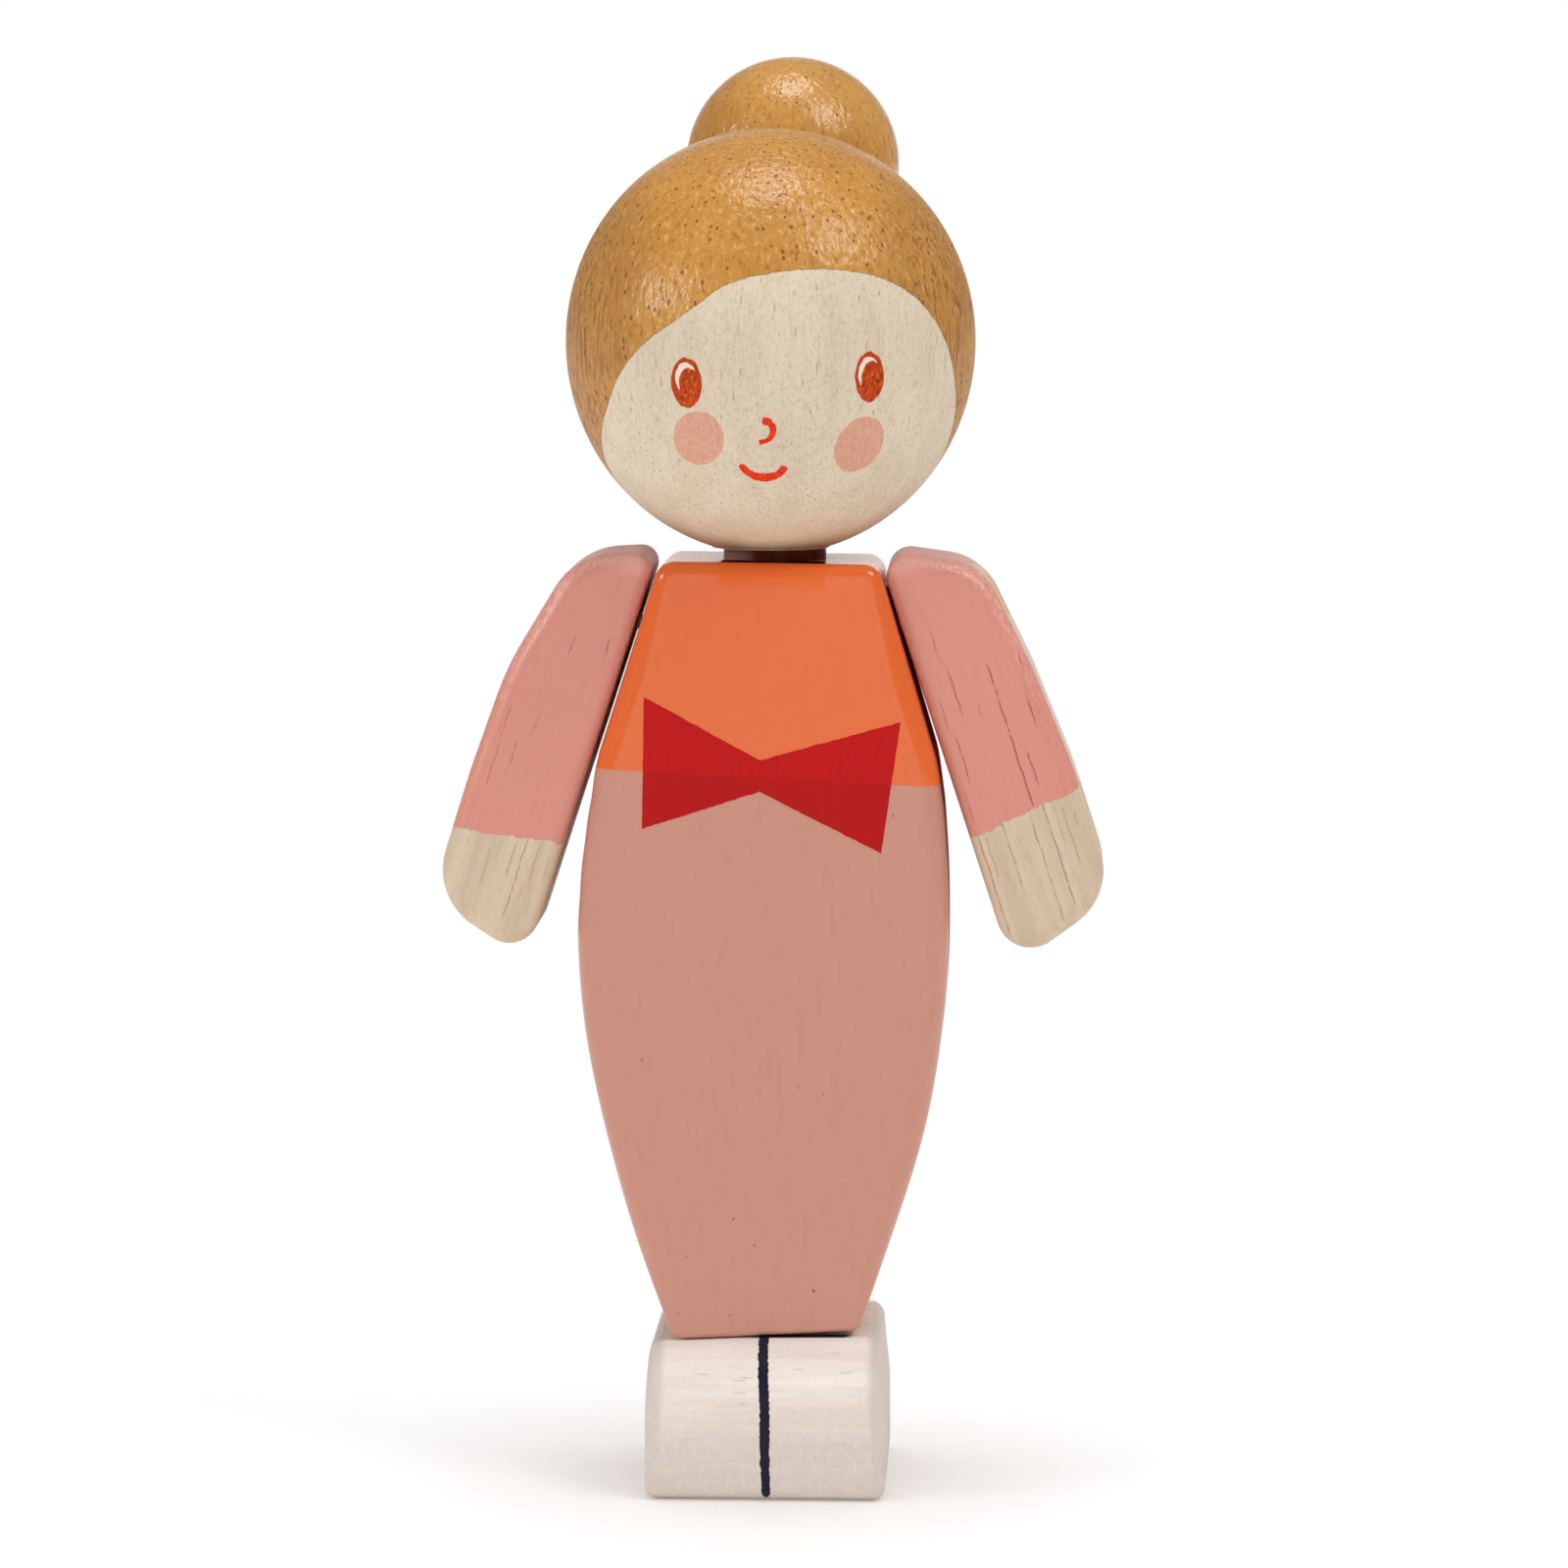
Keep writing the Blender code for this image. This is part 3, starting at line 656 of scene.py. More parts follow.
HAIR_PITS = Specks(Tint.HAIR_GRAIN, 0.55, 0.14, 0.38, 0.08, 0.75, stretch=(1.0, 1.0, 0.5))
BUN_DENTS = Specks(Tint.HAIR_GRAIN, 0.7, 0.15, 0.26, 0.05, 0.75)
SKIRT_PITS = Specks(Tint.PIT, 1.9, 0.14, 0.25, 0.02, 0.7)
HEM_DENTS = Specks(Tint.PIT, 1.6, 0.17, 0.3, 0.03, 0.8)
PAINT_NIBS = Specks(Tint.SLEEVE_WORN_AND_SHEEN, 1.0, 0.08, 0.13, -0.012, 0.4)
TOP_DOTS = Specks(Tint.EDGE_STREAK, 0.7, 0.1, 0.5, 0.01, stretch=(1.0, 0.12, 1.0))
BOW_FLECKS = Specks(Tint.BOW_FLECK, 1.5, 0.08, 0.22, -0.01, 0.55, stretch=(0.4, 1.0, 1.0))
FOOT_PORES = Specks(Tint.FOOT_STREAK, 1.3, 0.12, 0.22, 0.006, 0.75, stretch=(1.0 / 9.0, 1.0, 1.0))
HAND_PORES = Specks(Tint.HAND_GROOVE, 1.3, 0.07, 0.4, 0.03, 0.5, stretch=(1.0, 0.5, 0.07))
BACK_PORES = Specks(Tint.PORE_RED, 1.7, 0.08, 0.3, 0.05, 0.85, stretch=(1.0, 0.5, 0.07))
SLEEVE_DASHES = Specks(Tint.PORE_RED, 0.8, 0.14, 0.4, 0.05, 0.7, stretch=(1.0, 1.0, 0.5))

LEFT_SLEEVE_GROOVES = Grooves((
    (0.75, -15.6, -17.4, 0.7), (1.15, -6.3, -8.6, 0.6), (1.5, -10.7, -14.2, 0.9),
    (2.2, -0.8, -3.4, 0.6), (2.6, -4.8, -8.6, 0.8), (4.1, -8.0, -9.0, 0.4),
    (5.85, -5.0, -17.6, 1.0), (6.8, -13.2, -16.3, 0.9), (8.15, -8.9, -11.0, 0.9),
    (8.55, -4.9, -6.0, 0.8)))
LEFT_HAND_GROOVES = Grooves((
    (0.72, -17.0, -27.2, 0.95), (1.3, -18.0, -22.2, 0.7), (2.95, -16.6, -23.5, 0.8),
    (3.9, -19.5, -22.5, 0.4), (5.35, -17.4, -27.5, 0.8), (6.65, -17.4, -26.4, 1.0),
    (7.45, -18.0, -21.0, 0.5), (8.1, -18.2, -23.4, 0.6), (8.9, -19.0, -24.6, 0.6)))
RIGHT_HAND_GROOVES = Grooves((
    (1.0, -20.5, -22.5, 0.4), (2.05, -20.0, -23.6, 0.6), (3.2, -19.6, -26.6, 0.9),
    (4.0, -20.2, -23.0, 0.8), (5.9, -21.4, -24.6, 0.5), (7.75, -22.0, -26.6, 0.6)))
RIGHT_SLEEVE_GROOVES = Grooves((
    (1.65, -1.6, -2.8, 0.7), (4.5, -2.2, -3.6, 0.6), (5.4, -9.5, -11.0, 0.4),
    (6.5, -12.2, -14.0, 0.6), (7.85, -9.4, -16.4, 0.45)))


@lru_cache(maxsize=None)
def box_of(node: str) -> tuple[Vector, Vector]:
    """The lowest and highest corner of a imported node, measured once."""
    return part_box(node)


def new_mesh(points: Sequence[Vector], faces: Sequence[Sequence[int]]) -> Mesh:
    """A smooth mesh from points and faces, its normals outward and its doubles merged.

    Args:
        points: Its vertices.
        faces: Its faces as indices of the vertices.

    Returns:
        The mesh.
    """
    mesh = bpy.data.meshes.new("piece")
    mesh.from_pydata([tuple(point) for point in points], [], faces)
    shape = bmesh.new()
    shape.from_mesh(mesh)
    bmesh.ops.remove_doubles(shape, verts=shape.verts, dist=0.0005 * MM)
    bmesh.ops.recalc_face_normals(shape, faces=shape.faces)
    shape.to_mesh(mesh)
    shape.free()
    mesh.shade_smooth()
    mesh.set_sharp_from_angle(angle=math.radians(50.0))
    return mesh


def placed(name: str, data: bpy.types.ID) -> bpy.types.Object:
    """Put something into the scene.

    Args:
        name: The new object's name.
        data: Its mesh, light or camera.

    Returns:
        The object.
    """
    made = bpy.data.objects.new(name, data)
    bpy.context.scene.collection.objects.link(made)
    return made


def ring_faces(rings: int, count: int) -> list[tuple[int, ...]]:
    """The faces between closed rings of points that follow one another.

    Args:
        rings: How many rings there are.
        count: How many points each has.

    Returns:
        The faces as indices of the points.
    """
    faces = []
    for low in range(0, (rings - 1) * count, count):
        for index in range(count):
            after = (index + 1) % count
            faces.append((low + index, low + after, low + count + after, low + count + index))
    return faces


def clamped(share: float) -> float:
    """A share kept between 0 and 1."""
    return max(0.0, min(1.0, share))


def eased(share: float) -> float:
    """A share that leaves 0 and reaches 1 softly."""
    return share * share * (3.0 - 2.0 * share)


def fillet(before: Vector, corner: Vector, after: Vector, radius: float) -> list[Vector]:
    """Points along an arc that rounds a corner of an outline.

    Args:
        before: The corner before it.
        corner: The corner that is rounded.
        after: The corner after it.
        radius: The arc's radius.

    Returns:
        The arc's points in order.
    """
    back = (before - corner).normalized()
    ahead = (after - corner).normalized()
    half = math.acos(max(-1.0, min(1.0, back.dot(ahead)))) / 2.0
    centre = corner + (back + ahead).normalized() * (radius / math.sin(half))
    start = corner + back * (radius / math.tan(half)) - centre
    end = corner + ahead * (radius / math.tan(half)) - centre
    sweep = math.atan2(start.x * end.y - start.y * end.x, start.dot(end))
    steps = max(3, math.ceil(abs(sweep) / math.radians(5.0)))
    points = []
    for index in range(steps + 1):
        turn = sweep * index / steps
        cosine, sine = math.cos(turn), math.sin(turn)
        spoke = Vector((start.x * cosine - start.y * sine, start.x * sine + start.y * cosine))
        points.append(centre + spoke)
    return points


def rounded(corners: Sequence[tuple[Vector, float]]) -> list[Vector]:
    """A closed outline with rounded corners.

    Args:
        corners: Its corners in order, each with its radius.

    Returns:
        The outline's points.
    """
    points = []
    for index, (corner, radius) in enumerate(corners):
        before, after = corners[index - 1][0], corners[(index + 1) % len(corners)][0]
        points += fillet(before, corner, after, radius)
    return points


def ease(start: Vector, start_pull: Vector, end_pull: Vector, end: Vector, steps: int) -> list[Vector]:
    """Points along a cubic curve, without its first.

    Args:
        start: Where the curve starts.
        start_pull: The control point that it leaves towards.
        end_pull: The control point that it arrives from.
        end: Where the curve ends.
        steps: How many points it gives.

    Returns:
        The curve's points in order.
    """
    points = []
    for index in range(1, steps + 1):
        t = index / steps
        u = 1.0 - t
        points.append(
            start * u ** 3 + start_pull * (3.0 * u * u * t) + end_pull * (3.0 * u * t * t) + end * t ** 3)
    return points


def even_outline(points: Sequence[Vector], spacing: float) -> list[Vector]:
    """A closed outline with its long stretches divided.

    Args:
        points: The outline's points.
        spacing: The longest distance between two points.

    Returns:
        The divided outline.
    """
    even = []
    for index, point in enumerate(points):
        following = points[(index + 1) % len(points)]
        pieces = max(1, math.ceil((following - point).length / spacing))
        for part in range(pieces):
            even.append(point.lerp(following, part / pieces))
    return even


@dataclass(frozen=True)
class RoundedPlate:
    """A plate sawn to an outline with all its edges sanded round.

    Attributes:
        edge_radius: Gives the rounding of the edge at a point of the outline.
    """

    outline: Sequence[Vector]
    thickness: float
    edge_radius: Callable[[Vector], float]
    spacing: float = 0.5 * MM
    edge_steps: int = 10
    side_steps: int = 6

    def mesh(self, stand: Callable[[float, float, float], Vector]) -> Mesh:
        """Loft the plate.

        Args:
            stand: Turns a place in the plate's plane and a depth from its middle into a point.

        Returns:
            The plate's mesh.
        """
        even = even_outline(self.outline, self.spacing)
        count = len(even)
        turn = sum(even[i].x * even[(i + 1) % count].y - even[(i + 1) % count].x * even[i].y
                   for i in range(count))
        facing = 1.0 if turn > 0.0 else -1.0
        rings = self.rings()
        points = []
        for share, depth_share, straight in rings:
            for index, point in enumerate(even):
                tangent = (even[(index + 1) % count] - even[index - 1]).normalized()
                outward = Vector((tangent.y, -tangent.x)) * facing
                radius = self.edge_radius(point)
                rim = self.thickness / 2.0 - radius
                place = point - outward * (radius * share)
                if share > 1.0:
                    place = point - outward * (radius + (share - 1.0) * 2.0 * MM)
                depth = straight * rim + depth_share * radius
                points.append(stand(place.x, place.y, depth))
        last = (len(rings) - 1) * count
        caps = [tuple(range(count)), tuple(last + index for index in reversed(range(count)))]
        return new_mesh(points, ring_faces(len(rings), count) + caps)

    def rings(self) -> list[tuple[float, float, float]]:
        """Where the lofted rings lie, from the front face round the edge to the back face.

        Returns:
            For each ring its inset as a share of the edge radius (over 1 it lies on the flat face), its
            depth past the straight side as a share of the edge radius, and its place along the straight
            side from -1 at the front to 1 at the back.
        """
        flat = 1.1
        front = [(flat, -1.0, -1.0)]
        for step in range(self.edge_steps + 1):
            angle = math.radians(90.0) * step / self.edge_steps
            front.append((1.0 - math.sin(angle), -math.cos(angle), -1.0))
        middle = [(0.0, 0.0, 2.0 * step / self.side_steps - 1.0) for step in range(1, self.side_steps)]
        back = [(inset, -depth, 1.0) for inset, depth, _ in reversed(front)]
        return front + middle + back


def turned_mesh(profile: Pairs, steps: int) -> Mesh:
    """A mesh turned about Z from its profile.

    Args:
        profile: Radius and height of its points, from the axis over the outer side back to the axis.
        steps: How many steps the turning has.

    Returns:
        The turned mesh.
    """
    points = []
    for radius, height in profile:
        for step in range(steps):
            angle = 2.0 * math.pi * step / steps
            points.append(Vector((radius * math.cos(angle), radius * math.sin(angle), height)))
    return new_mesh(points, ring_faces(len(profile), steps))


@dataclass(frozen=True)
class Ball:
    """An egg of revolution about Z, such as the head, about its own centre.

    Attributes:
        half_height: Its radius along Z.
        half_depth: Its radius along Z below the centre.
    """

    radius: float
    half_height: float
    half_depth: float

    def along(self, height: float) -> float:
        """The radius along Z on the side of the centre where a height lies."""
        return self.half_height if height > 0.0 else self.half_depth

    def profile(self, base_drop: float, rings: int) -> list[tuple[float, float]]:
        """The outer side from the top pole down to a flat foot.

        Args:
            base_drop: How far the flat lies under the centre.
            rings: How many steps it has.

        Returns:
            Radius and height of each point.
        """
        last = math.acos(-base_drop / self.half_depth)
        angles = [last * ring / rings for ring in range(rings + 1)]
        return [(self.radius * math.sin(angle), self.along(math.cos(angle)) * math.cos(angle))
                for angle in angles]

    def normal(self, point: Vector) -> Vector:
        """The outward normal at a point of the surface."""
        across, along = self.radius ** 2, self.along(point.z) ** 2
        return Vector((point.x / across, point.y / across, point.z / along)).normalized()


@dataclass(frozen=True)
class Stamp:
    """A flat drawing plane that touches a ball, for marks that are painted on it.

    Attributes:
        azimuth: Where the plane touches, in radians from the front towards +X.
        height: The height of that place over the ball's centre.
    """

    ball: Ball
    azimuth: float
    height: float

    @property
    def centre(self) -> Vector:
        """The point where the plane touches the ball."""
        across = self.ball.radius * math.sqrt(1.0 - (self.height / self.ball.along(self.height)) ** 2)
        return Vector((across * math.sin(self.azimuth), -across * math.cos(self.azimuth), self.height))

    @property
    def right(self) -> Vector:
        """The plane's first direction, level and towards +X."""
        return Vector((math.cos(self.azimuth), math.sin(self.azimuth), 0.0))

    @property
    def up(self) -> Vector:
        """The plane's second direction, up along the ball."""
        return self.right.cross(-self.ball.normal(self.centre)).normalized()

    def at(self, u: float, v: float) -> Placed:
        """Where a point of the drawing lands on the ball.

        Args:
            u: Its place along the first direction.
            v: Its place along the second.

        Returns:
            The point on the ball and its normal.
        """
        normal = self.ball.normal(self.centre)
        flat = self.centre + self.right * u + self.up * v
        along = self.ball.along(self.height)
        squash = Vector((1.0 / self.ball.radius, 1.0 / self.ball.radius, 1.0 / along))
        start, way = flat * squash, normal * squash
        a, b, c = way.dot(way), 2.0 * start.dot(way), start.dot(start) - 1.0
        reach = (-b + math.sqrt(max(0.0, b * b - 4.0 * a * c))) / (2.0 * a)
        point = flat + normal * reach
        return point, self.ball.normal(point)


@dataclass(frozen=True)
class PaintFilm:
    """A thin closed film of paint between two lines drawn on a surface.

    Attributes:
        inner: Gives a point of the inner line, from a share along it.
        outer: Gives a point of the outer line, from a share along it.
        on: Lands a drawn point on the surface and gives the normal there.
        closed: True if the lines close on themselves.
        filled: True if the inner line is one point in the middle of a filled mark.
        ragged: How far its edges stray.
    """

    inner: Callable[[float], Vector]
    outer: Callable[[float], Vector]
    on: Landing
    closed: bool = True
    filled: bool = False
    thickness: float = 0.035 * MM
    along: int = 72
    across: int = 8
    ragged: float = 0.11 * MM

    def mesh(self) -> Mesh:
        """Loft the film.

        Returns:
            The film's mesh.
        """
        rows = self.along if self.closed else self.along + 1
        tops, roots = [], []
        for row in range(rows):
            share = row / self.along
            inner = self.strayed(self.inner(share), 0.0 if self.filled else 1.0)
            outer = self.strayed(self.outer(share), 1.0)
            for column in range(self.across + 1):
                place = inner.lerp(outer, column / self.across)
                point, normal = self.on(place.x, place.y)
                tops.append(point + normal * self.rise(row, rows, column))
                roots.append(point - normal * self.thickness)
        width = self.across + 1
        lower = len(tops)
        faces = []
        for row in range(self.along):
            after = (row + 1) % rows
            for column in range(self.across):
                a, b = row * width + column, after * width + column
                faces.append((a, b, b + 1, a + 1))
                faces.append((lower + a, lower + a + 1, lower + b + 1, lower + b))
            edges = [self.across] if self.filled else [0, self.across]
            for column in edges:
                a, b = row * width + column, after * width + column
                faces.append((a, lower + a, lower + b, b))
        if not self.closed:
            for row in (0, rows - 1):
                for column in range(self.across):
                    a = row * width + column
                    faces.append((a, a + 1, lower + a + 1, lower + a))
        return new_mesh(tops + roots, faces)

    def strayed(self, place: Vector, share: float) -> Vector:
        """A point of an edge moved off its line by up to a share of what the film strays."""
        stray = noise.noise_vector(Vector((place.x / (0.22 * MM), place.y / (0.5 * MM), 4.7)))
        return place + Vector((0.5 * stray.x, stray.y)) * (self.ragged * share)

    def rise(self, row: int, rows: int, column: int) -> float:
        """How far the film stands up at a place: full inside, thin at its edges.

        Args:
            row: The step along the lines.
            rows: How many there are.
            column: The step between the lines.

        Returns:
            The height over the surface.
        """
        edge = self.across - column if self.filled else min(column, self.across - column)
        if not self.closed:
            edge = min(edge, row, rows - 1 - row)
        return self.thickness * min(1.0, 0.45 + 0.35 * edge)


@dataclass(frozen=True)
class Oval:
    """An oval on a drawing plane.

    Attributes:
        u: Its middle along the first direction.
        v: Its middle along the second.
        lean: How far its top leans towards the first direction, as a share of the height.
    """

    u: float
    v: float
    half_width: float
    half_height: float
    lean: float = 0.0

    def point(self, share: float) -> Vector:
        """A point of the rim, from a share of the way round."""
        angle = 2.0 * math.pi * share
        up = self.half_height * math.cos(angle)
        return Vector((self.u + self.half_width * math.sin(angle) + self.lean * up, self.v + up))

    def middle(self, share: float) -> Vector:
        """The oval's middle, whatever the share."""
        return Vector((self.u, self.v))


@dataclass(frozen=True)
class Overlap:
    """What two ovals have in common, found by rays from a starting place inside both."""

    first: Oval
    second: Oval
    start: tuple[float, float]

    def reach(self, oval: Oval, way: Vector) -> float:
        """How far an oval's rim lies along a ray.

        Args:
            oval: The oval.
            way: The ray's direction.

        Returns:
            The distance.
        """
        squash = Vector((1.0 / oval.half_width, 1.0 / oval.half_height))
        place = Vector((self.start[0] - oval.u, self.start[1] - oval.v)) * squash
        run = way * squash
        a, b, c = run.dot(run), 2.0 * place.dot(run), place.dot(place) - 1.0
        return (-b + math.sqrt(b * b - 4.0 * a * c)) / (2.0 * a)

    def point(self, share: float) -> Vector:
        """A point of the common rim, from a share of the way round."""
        angle = 2.0 * math.pi * share
        way = Vector((math.sin(angle), math.cos(angle)))
        return Vector(self.start) + way * min(self.reach(self.first, way), self.reach(self.second, way))

    def middle(self, share: float) -> Vector:
        """The place that rays go out from, whatever the share."""
        return Vector(self.start)


@dataclass(frozen=True)
class Stroke:
    """A brush stroke along a few points, with a width that swells and tapers."""

    path: Pairs
    widths: Sequence[float]

    def follow(self, share: float) -> tuple[Vector, Vector, float]:
        """A place along the stroke.

        Args:
            share: The share of the way along it.

        Returns:
            The place, the direction across the stroke, and half the width there.
        """
        spot = min(share, 1.0) * (len(self.path) - 1)
        index = min(int(spot), len(self.path) - 2)
        t = spot - index
        knots = [Vector(self.path[max(0, min(len(self.path) - 1, index + k))]) for k in (-1, 0, 1, 2)]
        a, b, c, d = knots
        pull, bend, twist = c - a, 2.0 * a - 5.0 * b + 4.0 * c - d, 3.0 * b - a - 3.0 * c + d
        place = 0.5 * (2.0 * b + pull * t + bend * t ** 2 + twist * t ** 3)
        way = (0.5 * (pull + bend * (2.0 * t) + twist * (3.0 * t * t))).normalized()
        width = self.widths[index] * (1.0 - t) + self.widths[index + 1] * t
        ends = min(share, 1.0 - share) * (len(self.path) - 1) / 0.25
        rounding = math.sqrt(max(0.04, 1.0 - (1.0 - min(1.0, ends)) ** 2))
        return place, Vector((-way.y, way.x)), width / 2.0 * rounding

    def left(self, share: float) -> Vector:
        """A point of the stroke's left rim."""
        place, across, half = self.follow(share)
        return place + across * half

    def right(self, share: float) -> Vector:
        """A point of the stroke's right rim."""
        place, across, half = self.follow(share)
        return place - across * half

    def film(self, on: Landing, along: int = 60) -> PaintFilm:
        """The stroke as a film of paint on the surface that its points land on."""
        return PaintFilm(self.left, self.right, on, closed=False, along=along, across=6)


def drawn_stroke(path: Pairs, widths: Sequence[float]) -> Stroke:
    """A brush stroke from points and widths in millimetres."""
    return Stroke([(u * MM, v * MM) for u, v in path], [width * MM for width in widths])


@dataclass
class SubAssembly:
    """A part of the doll whose pieces ride on one body."""

    body: Body
    pieces: list[bpy.types.Object] = field(default_factory=list, init=False)

    def add(self, name: str, mesh: Mesh, material: Material, slot: str,
            place: Optional[Matrix] = None, stands_for: Sequence[str] = ()) -> bpy.types.Object:
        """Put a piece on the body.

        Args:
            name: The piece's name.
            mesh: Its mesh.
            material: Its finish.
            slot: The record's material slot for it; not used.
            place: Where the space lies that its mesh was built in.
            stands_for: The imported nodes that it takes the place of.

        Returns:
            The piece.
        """
        mesh.name = name
        if place is not None:
            mesh.transform(place)
        piece = placed(name, mesh)
        mesh.materials.append(material)
        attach(piece, self.body.value)
        if stands_for:
            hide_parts(*stands_for)
        self.pieces.append(piece)
        LOG.info("%s rides on %s with %d vertices", name, self.body.value, len(mesh.vertices))
        return piece

    def dress(self, node: str, material: Material) -> None:
        """Give a carried-over node its finish.

        Args:
            node: The node's name.
            material: Its finish.
        """
        slots = frame["nodes"][node].data.materials
        slots.clear()
        slots.append(material)
        LOG.info("%s keeps its shape and is dressed in %s", node, material.name)


def stand_front(x: float, z: float, depth: float, middle: float = 0.0) -> Vector:
    """A point of a plate that stands facing -Y, its middle at a place along Y."""
    return Vector((x, middle + depth, z))


def sanded(largest: float, stray: float) -> Callable[[Vector], float]:
    """An edge rounding that varies a little, as a hand-sanded edge does.

    Args:
        largest: The rounding's mean radius.
        stray: How far it varies, as a share.

    Returns:
        A function from a point of the outline to the radius there.
    """
    def radius(point: Vector) -> float:
        wave = noise.noise(Vector((point.x / (6.0 * MM), point.y / (6.0 * MM), 1.3)))
        return largest * (1.0 + stray * (wave - 0.5))

    return radius


@dataclass
class FootBlock(SubAssembly):
    """The pale block that the doll stands on, with its rounded toe and the line between the shoes.

    Attributes:
        toe_radius: The rounding of the upper front edge.
        corner_radius: The rounding of the block's back corners in side view.
        floor_radius: The rounding of the lower front corner.
        floor_edge_radius: The rounding of its side edges near the floor.
        line_start: How far the painted line reaches back over the top.
        line_path: The painted line, as distances over the toe from its start and places across, in
            millimetres.
        planed_left: How much narrower the doll's left side is, at the floor and at the top.
        planed_right: The same on the doll's right.
        settled: How much lower its top lies on the doll's right, under the hem.
    """

    body: Body = Body.TRUNK
    toe_radius: float = 5.0 * MM
    corner_radius: float = 1.9 * MM
    floor_radius: float = 1.4 * MM
    edge_radius: float = 1.5 * MM
    floor_edge_radius: float = 1.1 * MM
    line_start: float = 5.5 * MM
    line_path: Pairs = (
        (0.0, -0.24), (5.3, -0.26), (9.6, -0.2), (13.2, -0.04), (17.0, -0.02), (21.2, 0.1))
    line_widths: Sequence[float] = (0.84, 0.88, 0.86, 0.82, 0.8, 0.7)
    planed_left: tuple[float, float] = (0.28 * MM, 0.76 * MM)
    planed_right: tuple[float, float] = (0.15 * MM, 0.32 * MM)
    settled: float = 0.42 * MM
    raised: float = 0.12 * MM

    def shaped(self, point: Vector) -> Vector:
        """A point of the square block where the sanding has left it.

        Args:
            point: The point on the square block.

        Returns:
            The point on the sanded block.
        """
        low, high = box_of("foot_block")
        rise = (point.z - low.z) / (high.z - low.z)
        share = eased(clamped(2.0 * rise - 0.9))
        foot, top = self.planed_left if point.x > 0.0 else self.planed_right
        across = point.x / high.x
        narrowed = point.x - across * (foot + (top - foot) * share)
        lift = self.raised if across > 0.0 else self.settled
        return Vector((narrowed, point.y, point.z + lift * across * max(0.0, rise) ** 4))

    def outline(self) -> list[Vector]:
        """The block in side view, as places along Y and Z, from the back round under to the front."""
        low, high = box_of("foot_block")
        return rounded([
            (Vector((high.y, high.z)), self.corner_radius), (Vector((high.y, low.z)), self.corner_radius),
            (Vector((low.y, low.z)), self.floor_radius), (Vector((low.y, high.z)), self.toe_radius)])

    def build(self) -> None:
        """Make the block, its dowel and the painted line."""
        low, high = box_of("foot_block")
        plate = RoundedPlate(self.outline(), high.x - low.x, self.edge)
        mesh = plate.mesh(lambda y, z, depth: self.shaped(Vector((depth, y, z))))
        self.add("foot_block_wood", mesh, self.wood(), "foot_wood", stands_for=["foot_block"])
        line = drawn_stroke(self.line_path, self.line_widths).film(self.over_toe, 200)
        self.add("shoe_line", line.mesh(), self.line(), "foot_wood")
        sheet = NodeSheet("dowel_wood")
        self.dress("foot_dowel", sheet.finish(DOWEL_WOOD.lay(sheet)))

    def edge(self, point: Vector) -> float:
        """The side edges' rounding at a point of the side view: crisper near the floor."""
        share = clamped((point.y - 1.0 * MM) / (3.0 * MM))
        full = sanded(self.edge_radius, 0.15)(point)
        return self.floor_edge_radius + (full - self.floor_edge_radius) * share

    def over_toe(self, way: float, x: float) -> Placed:
        """Where a point of the painted line lies on the sanded block."""
        point, normal = self.over_square(way, x)
        return self.shaped(point), normal

    def over_square(self, way: float, x: float) -> Placed:
        """Where a point of the painted line lies on the square block.

        Args:
            way: The distance from the line's start over the toe and down.
            x: The place across.

        Returns:
            The point and its normal.
        """
        low, high = box_of("foot_block")
        flat = self.line_start
        arc = self.toe_radius * math.radians(90.0)
        front = high.z - low.z - self.toe_radius - self.floor_radius
        toe_y, toe_z = low.y + self.toe_radius, high.z - self.toe_radius
        if way < flat:
            return Vector((x, toe_y + flat - way, high.z)), Vector((0.0, 0.0, 1.0))
        if way < flat + arc:
            angle = (way - flat) / self.toe_radius
            normal = Vector((0.0, -math.sin(angle), math.cos(angle)))
            return Vector((x, toe_y, toe_z)) + normal * self.toe_radius, normal
        if way < flat + arc + front:
            return Vector((x, low.y, toe_z - (way - flat - arc))), Vector((0.0, -1.0, 0.0))
        angle = (way - flat - arc - front) / self.floor_radius
        normal = Vector((0.0, -math.cos(angle), -math.sin(angle)))
        corner = Vector((x, low.y + self.floor_radius, low.z + self.floor_radius))
        return corner + normal * self.floor_radius, normal

    def wood(self) -> Material:
        """Washed pale wood with faint streaks across, greyer and mottled towards the bottom of the front,
        painted shade along its sides and a painted shadow under the hem.
        """
        sheet = NodeSheet("foot_wood_washed")
        coat = FOOT_WOOD.lay(sheet)
        x, y, z = sheet.axes()
        mottle = sheet.noise(sheet.place(), 1.1, detail=4.0, rough=0.7)
        front = sheet.times(sheet.step(z, 9.5, 3.5), sheet.blend(mottle, 0.55, 1.25))
        # painted shade: the block turns greyer near its sides, where less light falls; lower on the front it
        # is greyer and mottled
        side = box_of("foot_block")[1].x / MM
        beside = sheet.step(sheet.math("ABSOLUTE", x), side - 2.1, side - 1.2)
        grey_and_side_shade = sheet.math("MINIMUM", sheet.larger(front, beside), 1.0)
        coat = sheet.tinted(coat, grey_and_side_shade, Tint.FOOT_GREY_AND_SHADE, 0.85)
        flakes = sheet.noise(sheet.stretched((1.0, 1.0, 0.6), shift=2.2), 0.32, detail=4.0, rough=0.75)
        bright = sheet.times(sheet.step(flakes, 0.5, 0.62), sheet.step(z, 9.0, 6.0))
        coat = sheet.tinted(coat, bright, Tint.FOOT_PALE, 0.22)
